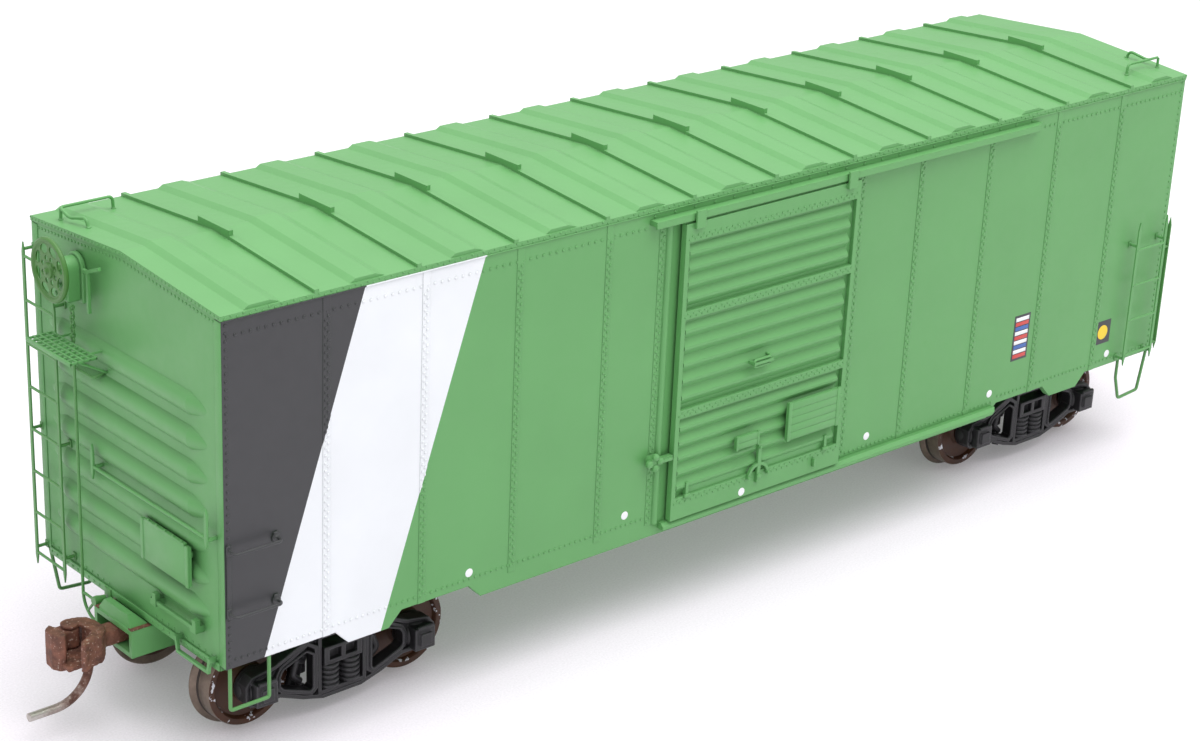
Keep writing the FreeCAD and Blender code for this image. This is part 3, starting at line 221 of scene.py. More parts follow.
def paintMaterial(name, values, colour, bands=None):
    material, tree, shader, place = startMaterial(name)
    surface = linear(colour)
    if bands:
        parts = addNode(tree, "SeparateXYZ", {0: place})
        side = addNode(tree, "Math", {"operation": "SIGN", 0: parts.outputs["Y"]})
        along = addNode(tree, "Math", {"operation": "MULTIPLY", 0: parts.outputs["X"], 1: side})
        rise = addNode(tree, "Math", {"operation": "SUBTRACT", 0: parts.outputs["Z"], 1: bands["middle"] * mm})
        lean = addNode(tree, "Math", {"operation": "MULTIPLY_ADD", 0: rise, 1: bands["slant"], 2: along})
        for edge, tone in (("whiteEdge", values["white"]), ("blackEdge", values["black"])):
            inside = addNode(tree, "Math", {"operation": "GREATER_THAN", 0: lean, 1: bands[edge] * mm})
            surface = addNode(tree, "Mix", {"data_type": "RGBA", 0: inside, 6: surface, 7: linear(tone)})
    mottle = addNode(tree, "TexNoise", {"Vector": place, "Scale": 1000 / values["mottleSize"], "Detail": 3})
    surface = mottled(tree, surface, mottle, 1 - values["mottleDepth"], 1 + values["mottleDepth"])
    # painted shade: a darker green where ambient occlusion finds seams, rivets and ribs close by
    close = addNode(tree, "AmbientOcclusion", {"samples": 6, "Distance": values["paintedShadeReach"] * mm})
    paintedShade = addNode(tree, "MapRange", {"Value": close.outputs["AO"], "From Min": .35, "From Max": .95,
                                      "To Min": values["paintedShadeDepth"], "To Max": 0})
    surface = addNode(tree, "Mix", {"data_type": "RGBA", 0: paintedShade, 6: surface, 7: linear(values["paintedShadeTone"])})
    # a little dust on what faces up
    facing = addNode(tree, "SeparateXYZ", {0: addNode(tree, "NewGeometry", {}).outputs["Normal"]})
    up = addNode(tree, "MapRange", {"Value": facing.outputs["Z"], "From Min": .3, "From Max": 1, "To Min": 0,
                                    "To Max": values["dustDepth"]})
    speck = addNode(tree, "TexNoise", {"Vector": place, "Scale": 1000 / values["speckSize"], "Detail": 4})
    dust = addNode(tree, "Math", {"operation": "MULTIPLY", 0: up, 1: speck})
    surface = addNode(tree, "Mix", {"data_type": "RGBA", 0: dust, 6: surface, 7: linear(values["dust"])})
    sheen = addNode(tree, "MapRange", {"Value": speck, "From Min": .3, "From Max": .7,
                                       "To Min": values["roughness"] - .05, "To Max": values["roughness"] + .06})
    setNode(tree, shader, {"Base Color": surface, "Roughness": sheen})
    softEdge = addNode(tree, "Bevel", {"samples": 4, "Radius": values["edge"] * mm})
    grained(tree, shader, place, values["peelSize"], 1, values["peelDepth"], .5, softEdge)
    return material


# acetal, moulded in black: waxy, paler grey on its raised edges, partly scuffs and partly painted highlight
acetalValues = {
    "colour": "1F1F21",
    "scuffAndHighlight": "66656A",
    "roughness": .46,
    "patchSize": 1.1,       # mm, size of the patches of scuff and painted highlight
    "grainSize": .35,       # mm
    "grainDepth": .012,
    "edge": .15,            # mm, reach of the scuffs and painted highlight
}


def acetalMaterial(values):
    material, tree, shader, place = startMaterial("BlackAcetal")
    # scuffs and painted highlight sit where the rounded normal leaves the flat one
    softEdge = addNode(tree, "Bevel", {"samples": 4, "Radius": values["edge"] * 2 * mm})
    flat = addNode(tree, "NewGeometry", {}).outputs["True Normal"]
    lean = addNode(tree, "VectorMath", {"operation": "DOT_PRODUCT", 0: softEdge, 1: flat})
    worn = addNode(tree, "MapRange", {"Value": lean, "From Min": .995, "From Max": .86, "To Min": 0, "To Max": .9})
    patch = addNode(tree, "TexNoise", {"Vector": place, "Scale": 1000 / values["patchSize"], "Detail": 4})
    share = addNode(tree, "Math", {"operation": "MULTIPLY", 0: worn, 1: patch})
    surface = addNode(tree, "Mix", {"data_type": "RGBA", 0: share, 6: linear(values["colour"]),
                                    7: linear(values["scuffAndHighlight"])})
    sheen = addNode(tree, "MapRange", {"Value": patch, "To Min": values["roughness"] - .1,
                                       "To Max": values["roughness"] + .12})
    setNode(tree, shader, {"Base Color": surface, "Roughness": sheen})
    grained(tree, shader, place, values["grainSize"], 2, values["grainDepth"], .5, softEdge)
    return material


# turned wheels: faces painted brown and flaking at the rim, treads worn to grey metal
wheelValues = {
    "face": "43240F",
    "tread": "76695E",
    "groove": "3B3430",
    "stainSize": 1.6,       # mm
    "chip": "D6D8DE",
    "chipSize": .9,         # mm, flakes of lost paint
    "chipFrom": .6,         # the higher, the fewer
    "turnedSize": .12,      # mm, marks of the lathe tool
    "metalRoughness": .36,
    "faceRoughness": .5,
}


def wheelMaterial(name, colour, metallic, roughness, values, chips=False):
    material, tree, shader, place = startMaterial(name)
    stain = addNode(tree, "TexNoise", {"Vector": place, "Scale": 1000 / values["stainSize"], "Detail": 5,
                                       "Roughness": .65})
    surface = mottled(tree, linear(colour), stain, .7, 1.25)
    if chips:
        flake = addNode(tree, "TexNoise", {"Vector": place, "Scale": 1000 / values["chipSize"], "Detail": 3,
                                           "Roughness": .55})
        bare = addNode(tree, "MapRange", {"Value": flake, "From Min": values["chipFrom"],
                                          "From Max": values["chipFrom"] + .02})
        surface = addNode(tree, "Mix", {"data_type": "RGBA", 0: bare, 6: surface, 7: linear(values["chip"])})
    rough = addNode(tree, "MapRange", {"Value": stain, "To Min": roughness - .1, "To Max": roughness + .15})
    setNode(tree, shader, {"Base Color": surface, "Metallic": metallic, "Roughness": rough})
    grained(tree, shader, place, values["turnedSize"], 1, .006, .4)
    return material


# coupler castings painted rust: coarse sandy grain, pale flecks where the paint is thin
castValues = {
    "rust": "8A5A48",
    "dark": "55362B",
    "patchSize": 1.2,       # mm
    "fleck": "C9B9AC",
    "fleckSize": .3,        # mm
    "steel": "BDB8B2",
    "roughness": .68,
    "grainSize": .3,        # mm
    "grainDepth": .05,
    "wornFrom": 76.6,       # mm from the middle: the pin is rusty here and bright at its tip
    "wornTo": 82.5,
}


def castMaterial(name, values, pin=False):
    material, tree, shader, place = startMaterial(name)
    patch = addNode(tree, "TexNoise", {"Vector": place, "Scale": 1000 / values["patchSize"], "Detail": 6,
                                       "Roughness": .7})
    depth = addNode(tree, "MapRange", {"Value": patch, "From Min": .35, "From Max": .65})
    surface = addNode(tree, "Mix", {"data_type": "RGBA", 0: depth, 6: linear(values["dark"]),
                                    7: linear(values["rust"])})
    dots = addNode(tree, "TexNoise", {"Vector": place, "Scale": 1000 / values["fleckSize"], "Detail": 2,
                                      "Roughness": .6})
    pale = addNode(tree, "MapRange", {"Value": dots, "From Min": .64, "From Max": .7, "To Max": .7})
    surface = addNode(tree, "Mix", {"data_type": "RGBA", 0: pale, 6: surface, 7: linear(values["fleck"])})
    setNode(tree, shader, {"Roughness": values["roughness"]})
    if pin:
        along = addNode(tree, "Math", {"operation": "ABSOLUTE",
                                       0: addNode(tree, "SeparateXYZ", {0: place}).outputs["X"]})
        worn = addNode(tree, "MapRange", {"Value": along, "From Min": values["wornFrom"] * mm,
                                          "From Max": values["wornTo"] * mm})
        patchy = addNode(tree, "MapRange", {"Value": patch, "From Min": .3, "From Max": .7, "To Min": -.5,
                                            "To Max": .5})
        both = addNode(tree, "Math", {"operation": "ADD", "use_clamp": True, 0: worn, 1: patchy})
        surface = addNode(tree, "Mix", {"data_type": "RGBA", 0: both, 6: surface, 7: linear(values["steel"])})
        shine = addNode(tree, "MapRange", {"Value": both, "To Min": .65, "To Max": .3})
        setNode(tree, shader, {"Metallic": both, "Roughness": shine})
    setNode(tree, shader, {"Base Color": surface})
    grained(tree, shader, place, values["grainSize"], 4, values["grainDepth"], .2 if pin else .8)
    return material


# printing ink on the enamel: flat and even, with the weave of the pad in it
inkValues = {
    "white": "F4F6F8",
    "yellow": "F8D63C",
    "dark": "45474A",
    "blue": "4A6FB5",
    "red": "D2504C",
}
weaveSize = .25  # mm


def inkMaterial(name, colour):
    material, tree, shader, place = startMaterial(name)
    weave = addNode(tree, "TexNoise", {"Vector": place, "Scale": 1000 / weaveSize, "Detail": 2})
    rough = addNode(tree, "MapRange", {"Value": weave, "To Min": .45, "To Max": .6})
    setNode(tree, shader, {"Base Color": mottled(tree, linear(colour), weave, .94, 1.04, 0, 1), "Roughness": rough})
    return material


greenEnamel = paintMaterial("GreenEnamel", paintValues, paintValues["green"])
wireEnamel = paintMaterial("GreenEnamelOnWire", paintValues, paintValues["wire"])
wheelEnamel = paintMaterial("WheelEnamel", paintValues, paintValues["wheel"])
# deeper and wider painted shade in the hollows of the ribbed ends
ribbedEnamel = paintMaterial("RibbedEnamel", dict(paintValues, paintedShadeReach=2.8, paintedShadeDepth=.6), paintValues["green"])
bandedEnamel = paintMaterial("BandedEnamel", paintValues, paintValues["green"], bandValues)
blackAcetal = acetalMaterial(acetalValues)
faceRoughness, metalRoughness = wheelValues["faceRoughness"], wheelValues["metalRoughness"]
brownedSteel = wheelMaterial("BrownedWheelFace", wheelValues["face"], .1, faceRoughness, wheelValues)
wornTread = wheelMaterial("WornTread", wheelValues["tread"], .8, metalRoughness, wheelValues)
treadGroove = wheelMaterial("TreadGroove", wheelValues["groove"], .5, faceRoughness, wheelValues)
chippedRim = wheelMaterial("ChippedRim", wheelValues["face"], .1, faceRoughness, wheelValues, True)
rustCasting = castMaterial("RustPaintedCasting", castValues)
rustedPin = castMaterial("RustedSteelPin", castValues, True)
inks = {name: inkMaterial(name.capitalize() + "Ink", colour) for name, colour in inkValues.items()}
print("finishes mixed")


# how a node's name starts and its finish, the first that fits
nodeFinishes = (("truck_frame", blackAcetal), ("wheelset", brownedSteel), ("coupler_brake", rustCasting),
                ("coupler_plain", rustCasting), ("knuckle", rustCasting), ("side_", bandedEnamel),
                ("grabs_", bandedEnamel), ("ladder_side_", bandedEnamel), ("end_", ribbedEnamel), ("", greenEnamel))

for name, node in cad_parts.items():
    node.data.materials.clear()
    node.data.materials.append(next(finish for start, finish in nodeFinishes if name.startswith(start)))
print("nodes dressed")


shellValues = {
    "side": 16.8,           # mm, outer face of the sides
    "end": 70.75,           # outer face of the ends
    "eave": 48.1,
    "roofRise": 1.3,
    "roofReach": 16.88,
    "roofThick": .5,
}

# what comes twice: the piece as shaped on the left side or at the brake end, and its copy
sidePair = ("left", "right")
endPair = ("brake", "plain")
doorPair = ("door_left", "door_right")
halfTurn = Matrix.Rotation(math.pi, 4, "Z")

# turns of a piece that is shaped to look up, so that it looks out from a sheet
facings = {
    "left": Matrix.Rotation(math.radians(90), 4, "X"),
    "right": Matrix.Rotation(math.radians(-90), 4, "X"),
    "brake": Matrix.Rotation(math.radians(-90), 4, "Y"),
    "plain": Matrix.Rotation(math.radians(90), 4, "Y"),
    "top": Matrix.Identity(4),
}


def clearSelection():
    if bpy.context.mode != "OBJECT":
        bpy.ops.object.mode_set(mode="OBJECT")
    bpy.ops.object.select_all(action="DESELECT")


def choose(piece):
    clearSelection()
    piece.select_set(True)
    bpy.context.view_layer.objects.active = piece


def span(name):
    # lowest and highest corner of a node at rest, in millimetres
    low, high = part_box(name)
    return Vector(low) / mm, Vector(high) / mm


def roofHeight(across):
    # top of the roof's edge strip above a point of the gable
    return shellValues["eave"] + shellValues["roofRise"] * (1 - abs(across) / shellValues["roofReach"])


# where a spot on a side or an end lies: along, out from the sheet, up
def spot(facing, along, out, up):
    place = {"left": (along, -shellValues["side"] - out, up), "right": (-along, shellValues["side"] + out, up),
             "brake": (-shellValues["end"] - out, along, up), "plain": (shellValues["end"] + out, -along, up)}
    return Vector(place[facing])


def bake(piece):
    choose(piece)
    bpy.ops.object.transform_apply(location=True, rotation=True, scale=True)
    return piece


def joined(parts):
    for part in parts:
        bake(part)
    for part in parts:
        part.select_set(True)
    bpy.context.view_layer.objects.active = parts[0]
    if len(parts) > 1:
        bpy.ops.object.join()
    return bpy.context.object


def finishPiece(parts, name, materials=(greenEnamel,), nodes=(), body="carbody", smooth=35):
    piece = joined(parts)
    piece.name = piece.data.name = name
    piece.scale = (mm, mm, mm)
    bake(piece)
    bpy.ops.object.shade_smooth_by_angle(angle=math.radians(smooth))
    for material in materials:
        piece.data.materials.append(material)
    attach(piece, body)
    if nodes:
        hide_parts(*nodes)
    return piece


def copyOf(piece, matrix):
    twin = piece.copy()
    twin.data = piece.data.copy()
    bpy.context.collection.objects.link(twin)
    twin.data.transform(matrix)
    return twin


# the piece as shaped, and a copy after half a turn about the middle of the car
def finishPair(parts, stem, names, materials=(greenEnamel,), nodes=(), bodies=("carbody", "carbody"), smooth=35):
    piece = joined(parts)
    for item, name, body in zip((piece, copyOf(piece, halfTurn)), names, bodies):
        finishPiece([item], stem + "_" + name, materials, [node + "_" + name for node in nodes], body, smooth=smooth)


def useModifier(piece, kind, settings):
    choose(piece)
    modifier = piece.modifiers.new(kind.lower(), kind)
    for name, value in settings.items():
        setattr(modifier, name, value)
    bpy.ops.object.modifier_apply(modifier=modifier.name)
    return piece


def roundEdges(piece, radius, segments=2):
    bake(piece)
    return useModifier(piece, "BEVEL", {"width": radius, "segments": segments, "limit_method": "ANGLE",
                                        "angle_limit": math.radians(40)})


# a bar turned on its own axis, along Z: each step is a distance and a radius
def turned(steps, vertices=48):
    clearSelection()
    bpy.ops.mesh.primitive_circle_add(vertices=vertices, radius=steps[0][1], fill_type="NGON",
                                      location=(0, 0, steps[0][0]))
    piece = bpy.context.object
    bpy.ops.object.mode_set(mode="EDIT")
    for (low, inner), (high, outer) in zip(steps, steps[1:]):
        bpy.ops.mesh.extrude_region_move(TRANSFORM_OT_translate={"value": (0, 0, high - low)})
        bpy.ops.transform.resize(value=(outer / inner, outer / inner, 1), center_override=(0, 0, high))
    bpy.ops.mesh.select_all(action="SELECT")
    bpy.ops.mesh.normals_make_consistent(inside=False)
    return bake(piece)


# a turned piece whose axis looks out from a sheet at a place
def standing(facing, place, steps, vertices):
    piece = turned(steps, vertices)
    piece.data.transform(Matrix.Translation(place) @ facings[facing])
    return piece


def block(low, high, edge=.05):
    clearSelection()
    low, high = Vector(low), Vector(high)
    bpy.ops.mesh.primitive_cube_add(size=1, location=(low + high) / 2, scale=high - low)
    return roundEdges(bpy.context.object, edge)


# a block on a sheet, between two spots
def pad(facing, low, high, edge=.04):
    return block(spot(facing, *low), spot(facing, *high), edge)


# a chain of edges through the points, drawn out of one corner
def trace(points):
    clearSelection()
    bpy.ops.mesh.primitive_plane_add(size=.1, location=points[0])
    bpy.ops.object.mode_set(mode="EDIT")
    bpy.ops.mesh.merge(type="CENTER")
    for start, end in zip(points, points[1:]):
        bpy.ops.mesh.extrude_region_move(TRANSFORM_OT_translate={"value": Vector(end) - Vector(start)})
    bpy.ops.mesh.select_all(action="SELECT")
    return bpy.context.object


# a flat plate: its outline filled and drawn out to its thickness
def slab(points, depth, edge=.04):
    piece = trace(points)
    bpy.ops.mesh.edge_face_add()
    bpy.ops.mesh.extrude_region_move(TRANSFORM_OT_translate={"value": depth})
    bpy.ops.mesh.select_all(action="SELECT")
    bpy.ops.mesh.normals_make_consistent(inside=False)
    return roundEdges(bake(piece), edge, 1)


# a round wire along the points, its corners bent to a radius
def wire(points, radius, bend=.4, steps=4, sides=2):
    trace(points)
    if len(points) > 2:
        bpy.ops.mesh.bevel(offset=bend, segments=steps, affect="VERTICES")
    bpy.ops.object.mode_set(mode="OBJECT")
    bpy.ops.object.convert(target="CURVE")
    curve = bpy.context.object.data
    curve.bevel_depth = radius
    curve.bevel_resolution = sides
    curve.use_fill_caps = True
    bpy.ops.object.convert(target="MESH")
    return bake(bpy.context.object)


# a wire through spots of a sheet
def rail(facing, spots, radius, bend=.4):
    return wire([spot(facing, *point) for point in spots], radius, bend)


wheelsetValues = {
    "axleZ": 5.45,
    "truckX": 53.75,
    "axleX": 9.9,
    # distance from the middle and radius: axle, back, flange, tread, rim, dish, hub, needle point
    "steps": ((.001, .85), (6.1, .85), (6.7, 1.0), (7.2, 1.4), (7.25, 4.4), (7.28, 5.25), (7.42, 5.44), (7.6, 5.43),
              (7.8, 5.22), (7.95, 4.9), (8.15, 4.86), (8.25, 4.82), (8.45, 4.82), (9.8, 4.8), (9.98, 4.72),
              (10.03, 4.55), (10.03, 4.1), (9.9, 3.98), (9.52, 3.86), (9.42, 3.6), (9.42, 2.4), (9.5, 2.1),
              (9.78, 1.9), (9.9, 1.8), (9.9, 1.25), (9.95, 1.12), (12.05, .06)),
    "treadRadius": 4.73,
    "rimRadius": 3.9,
    "rimFrom": 9.5,         # mm from the middle, and so are the next two
    "axleReach": 7.0,
    "groove": (7.95, 8.3),
    "grooveRadius": 4,
}


def nearestWheelset(x):
    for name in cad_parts:
        if name.startswith("wheelset"):
            low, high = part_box(name)
            if low.x < x * mm < high.x:
                return name


def buildWheelsets(values):
    steps = values["steps"]
    bar = turned([(-along, radius) for along, radius in reversed(steps)] + list(steps[1:]), 64)
    bar.data.transform(facings["left"])
    places = [truck * values["truckX"] + axle * values["axleX"] for truck in (-1, 1) for axle in (-1, 1)]
    for number, x in enumerate(places, 1):
        # no two stand at the same turn
        turn = Matrix.Rotation(number * .9, 4, "Y")
        name = nearestWheelset(x)
        piece = finishPiece([copyOf(bar, Matrix.Translation((x, 0, values["axleZ"])) @ turn)], "turned_" + name,
                            (brownedSteel, wornTread, chippedRim, treadGroove), (name,), name, 30)
        for face in piece.data.polygons:
            centre = face.center / mm
            reach = math.hypot(centre.x - x, centre.z - values["axleZ"])
            across = abs(centre.y)
            if values["groove"][0] < across < values["groove"][1] and reach > values["grooveRadius"]:
                face.material_index = 3
            elif reach > values["treadRadius"] or across < values["axleReach"]:
                face.material_index = 1
            elif reach > values["rimRadius"] and across > values["rimFrom"]:
                face.material_index = 2
    bpy.data.objects.remove(bar)


buildWheelsets(wheelsetValues)
print("wheelsets turned")


rivetValues = {
    "radius": .19,
    "rise": .09,
    # a seam of the side has two staggered columns, this far from its middle and from the sheet
    "seams": (-58.95, -47.16, -35.37, -23.58, -16.22, 13.75, 23.58, 35.37, 47.16, 58.95),
    "seamPitch": .82,
    "seamGap": .16,
    "seamOut": .06,
    "seamTop": 45.6,
    "seamFoot": (12.4, 12.9),  # beside the door and elsewhere
    # rows of the side: pitch, and from and to as along and up
    "sideRows": ((.85, (-70.1, 46.5), (-18.7, 46.5)), (.85, (43.7, 46.5), (70.1, 46.5)),
                 (2.8, (-17.5, 47.62), (42, 47.62)),
                 (.72, (-69.6, 12.95), (-17.2, 12.95)), (.72, (41.2, 12.95), (70.1, 12.95)),
                 (.72, (14.6, 12.45), (40, 12.45)),
                 (.8, (-70.3, 12.6), (-70.3, 47.6)), (.8, (70.3, 12.6), (70.3, 47.6))),
    # rows of one half of the end: pitch, and from and to as along, out and up
    "endRows": ((.8, (16.35, 0, 12.7), (16.35, 0, 47.6)), (1.05, (3.9, .2, 12.0), (15.4, .2, 12.0)),
                (1.05, (4.4, 0, 12.75), (15.4, 0, 12.75))),
    "gablePitch": .62,
    "gableUnder": .5,       # mm, from the roof down to the row
    "gableReach": (15.5, .4),
    "roofFace": -70.87,     # mm, where the gable edge of the roof is
    "roofRowReach": (16.5, .3),
    "roofRowOver": .25,
    "eaveReach": (-70.4, 70.1),
    "eaveRows": ((.15, 0), (.37, .7)),  # height over the eave, and shift
    "eavePitch": 1.4,
    "doorFace": -17.85,
    "doorBands": (14.2, 24.6, 36.0, 44.7),
    "doorInset": (.5, 1.0),
    "bandGap": .17,
    "bandPitch": .82,
}


def rivetHead(values, size=1.0):
    clearSelection()
    bpy.ops.mesh.primitive_circle_add(vertices=7, radius=values["radius"] * size, fill_type="NGON")
    head = bpy.context.object
    bpy.ops.object.mode_set(mode="EDIT")
    for lift, scale in ((.6, .85), (.4, .5)):
        bpy.ops.mesh.extrude_region_move(TRANSFORM_OT_translate={"value": (0, 0, values["rise"] * size * lift)})
        bpy.ops.transform.resize(value=(scale, scale, 1))
    bpy.ops.object.mode_set(mode="OBJECT")
    return head


# a row of heads from start to end, close to the pitch asked for
def rivetRow(head, facing, pitch, start, end):
    start, end = Vector(start), Vector(end)
    count = max(2, round((end - start).length / pitch) + 1)
    row = copyOf(head, Matrix.Translation(start) @ facings[facing])
    return useModifier(row, "ARRAY", {"count": count, "use_relative_offset": False, "use_constant_offset": True,
                                      "constant_offset_displace": (end - start) / (count - 1)})


def buildSideRivets(values):
    head = rivetHead(values)
    rows = []
    for x in values["seams"]:
        foot = values["seamFoot"][abs(x) > 17]
        for way, shift in ((-1, 0), (1, values["seamPitch"] / 2)):
            ends = [spot("left", x + way * values["seamGap"], values["seamOut"], z + shift)
                    for z in (foot, values["seamTop"])]
            rows.append(rivetRow(head, "left", values["seamPitch"], *ends))
    for pitch, *ends in values["sideRows"]:
        rows.append(rivetRow(head, "left", pitch, *[spot("left", x, 0, z) for x, z in ends]))
    finishPair(rows, "rivets_side", sidePair, (bandedEnamel,), smooth=50)
    bpy.data.objects.remove(head)


# two staggered rows on the rim of the roof, and one along the gables
def buildRoofRivets(values):
    head = rivetHead(values, .75)
    rows = []
    for height, shift in values["eaveRows"]:
        ends = [(x + shift, -shellValues["roofReach"], shellValues["eave"] + height) for x in values["eaveReach"]]
        rows.append(rivetRow(head, "left", values["eavePitch"], *ends))
    for way in (-1, 1):
        ends = [(values["roofFace"], way * y, roofHeight(y) + values["roofRowOver"]) for y in values["roofRowReach"]]
        rows.append(rivetRow(head, "brake", values["gablePitch"], *ends))
    finishPair(rows, "rivets_roof", sidePair, smooth=50)
    bpy.data.objects.remove(head)


def buildEndRivets(values):
    head = rivetHead(values, .85)
    rows = []
    gable = [(y, 0, roofHeight(y) - values["gableUnder"]) for y in values["gableReach"]]
    for way in (-1, 1):
        for pitch, *ends in ((values["gablePitch"], *gable), *values["endRows"]):
            rows.append(rivetRow(head, "brake", pitch, *[spot("brake", way * y, out, z) for y, out, z in ends]))
    finishPair(rows, "rivets_end", endPair, smooth=50)
    bpy.data.objects.remove(head)


def buildDoorRivets(values):
    head = rivetHead(values, .72)
    low, high = span("door_left")
    first, last = low.x + values["doorInset"][0], high.x - values["doorInset"][1]
    rows = []
    for z in values["doorBands"]:
        for way, shift in ((-1, 0), (1, values["bandPitch"] / 2)):
            ends = [(x + shift, values["doorFace"], z + way * values["bandGap"]) for x in (first, last)]
            rows.append(rivetRow(head, "left", values["bandPitch"], *ends))
    finishPair(rows, "rivets_door", sidePair, bodies=doorPair, smooth=50)
    bpy.data.objects.remove(head)


buildSideRivets(rivetValues)
buildRoofRivets(rivetValues)
buildEndRivets(rivetValues)
buildDoorRivets(rivetValues)
print("rivets set")


trimValues = {
    "lipOut": .16,          # mm, a lip under the roof, out from the side
    "lipTall": .14,
    "stripReach": 15.8,     # strip under the ends
    "stripLow": 11.6,
    "stripHigh": 12.4,
    "stripOut": .2,
    "cornerAt": 16.25,      # upright strips by the corners of the ends
    "cornerWide": 1.1,
    "cornerOut": .07,
    "cornerLow": 12.2,
    "cornerHigh": 48.0,
}


def buildTrim(values):
    eave, end = shellValues["eave"], shellValues["end"]
    lip = pad("left", (-end, values["lipOut"], eave - values["lipTall"]), (end, 0, eave), .03)
    finishPair([lip], "eave_lip", sidePair, (bandedEnamel,))
    parts = [pad("brake", (-values["stripReach"], values["stripOut"], values["stripLow"]),
                 (values["stripReach"], 0, values["stripHigh"]))]
    half = values["cornerWide"] / 2
    for along in (-values["cornerAt"], values["cornerAt"]):
        parts.append(pad("brake", (along - half, values["cornerOut"], values["cornerLow"]),
                         (along + half, 0, values["cornerHigh"]), .03))
    finishPair(parts, "end_trim", endPair)


buildTrim(trimValues)
print("trim set")


# ladders, grabs, rails and steps: round wire and flat stiles
wireValues = {
    "rung": .15,            # mm, radius
    "grab": .17,
    "step": .2,
    "bend": .45,
    "stileWide": .46,
    "stileThick": .2,
    "stileTip": 1.1,
    "stileEdge": .03,
    "standOff": 1.25,
    "rungPitch": 4.7,
    "underRung": 1.4,       # from the lowest rung down to the tip of the stile
    "shortStile": 41.6,     # top of the stile under the hand brake
    "bracket": (3.9, 35.76),
}

# on each panel: inner and outer stile, lowest rung, number of rungs, how far the stiles pass the
# last rung, heights of the brackets at each stile
ladderValues = {
    "ladder_end_brake": ("brake", 10.8, 16.8, 11.8, 8, 1.5, (13.2, 25.9, 41.0), (12.4, 25.9, 45.4)),
    "ladder_end_plain": ("plain", 10.8, 16.8, 13.3, 4, 2.4, (12.9, 25.9), (12.9, 25.9)),
    "ladder_side_left": ("left", 63.6, 69.4, 13.3, 4, 3.7, (12.8, 27.9), (12.8, 27.9)),
    "ladder_side_right": ("right", 63.75, 69.75, 13.3, 7, 3.0, (12.8, 27.9, 42.0), (12.8, 27.9, 42.0)),
}


# a flat stile with pointed tips
def stile(facing, along, low, high, values):
    half, tip, out = values["stileWide"] / 2, values["stileTip"], values["standOff"] + values["stileThick"] / 2
    outline = ((along - half, low + tip), (along, low), (along + half, low + tip), (along + half, high - tip),
               (along, high), (along - half, high - tip))
    points = [spot(facing, u, out, z) for u, z in outline]
    return slab(points, spot(facing, 0, out - values["stileThick"], 0) - spot(facing, 0, out, 0), values["stileEdge"])


def buildLadder(name, values):
    facing, inner, outer, first, count, passing, innerFeet, outerFeet = ladderValues[name]
    inset, out, rung = values["stileWide"] / 2, values["standOff"], values["rung"]
    inner, outer = inner + inset, outer - inset
    last = first + values["rungPitch"] * (count - 1)
    low, high = first - values["underRung"], last + passing
    parts = [stile(facing, outer, low, high, values)]
    if name == "ladder_end_brake":
        # the inner stile stops short under the hand brake, a bracket takes the top rung
        along, up = values["bracket"]
        parts += [stile(facing, inner, low, values["shortStile"], values),
                  rail(facing, ((inner, 0, last), (inner, out, last)), rung),
                  rail(facing, ((inner, out, up), (along, out, up), (along, 0, up + .3)), values["grab"],
                       values["bend"])]
    else:
        parts.append(stile(facing, inner, low, high, values))
    for number in range(count):
        z = first + values["rungPitch"] * number
        parts.append(rail(facing, ((inner, out, z), (outer, out, z)), rung))
    for along, feet in ((inner, innerFeet), (outer, outerFeet)):
        for z in feet:
            parts.append(rail(facing, ((along, 0, z), (along, out, z)), rung * 1.2))
            parts.append(pad(facing, (along - .3, 0, z - .4), (along + .3, .15, z + .4)))
    finishPiece(parts, "wire_" + name, (bandedEnamel if "side" in name else wireEnamel,), (name,))


grabValues = {
    "corner": -70.35,       # the grabs' ends by the corner stand on a tall plate
    "plate": (17.6, 25.3),
    "levels": (18.1, 24.8),
    "knob": ((0, .5), (.15, .48), (.3, .3), (.42, .12)),
}


def buildGrabs(values, wires):
    low, high = span("grabs_left")
    x0, x1, out = values["corner"], high.x - .5, -low.y - shellValues["side"] - .2
    foot, top = values["plate"]
    parts = [pad("left", (x0 - .25, .15, foot), (x0 + .25, 0, top))]
    for z in values["levels"]:
        parts.append(rail("left", ((x0, 0, z), (x0, out, z), (x1, out, z), (x1, 0, z)), wires["grab"],
                          wires["bend"]))
        for x in (x0, x1):
            parts.append(pad("left", (x - .3, .25, z - .55), (x + .3, 0, z + .55), .08))
        parts.append(standing("left", spot("left", x1, .05, z - .1), values["knob"], 12))
    finishPair(parts, "wire_grabs", sidePair, (bandedEnamel,), ("grabs",))


endRailValues = {
    "level": 25.9,
    "out": 1.1,
    "posts": ((-15.5, 24.9, 29.1), (4.85, 24.5, 28.4)),  # where along, and the tips
    "post": {"stileWide": .44, "stileThick": .26, "stileTip": .8, "stileEdge": .04, "standOff": 1.14},
}


def buildEndRail(values, wires):
    z, out, posts = values["level"], values["out"], values["posts"]
    parts = [rail("brake", ((posts[0][0], out, z + .1), (posts[1][0], out, z)), wires["grab"])]
    for along, low, high in posts:
        parts.append(stile("brake", along, low, high, values["post"]))
        parts.append(rail("brake", ((along, 0, z - .1), (along, out, z - .1)), wires["grab"] * 1.3))
    finishPair(parts, "wire_end_rail", endPair, nodes=("end_rail",))


roofGrabValues = {
    "corner": (-69.55, 13.35, 50.2),
    "along": 6,
    "across": 4.4,
    "foot": ((-.1, .27), (.1, .25), (.14, .18)),
}


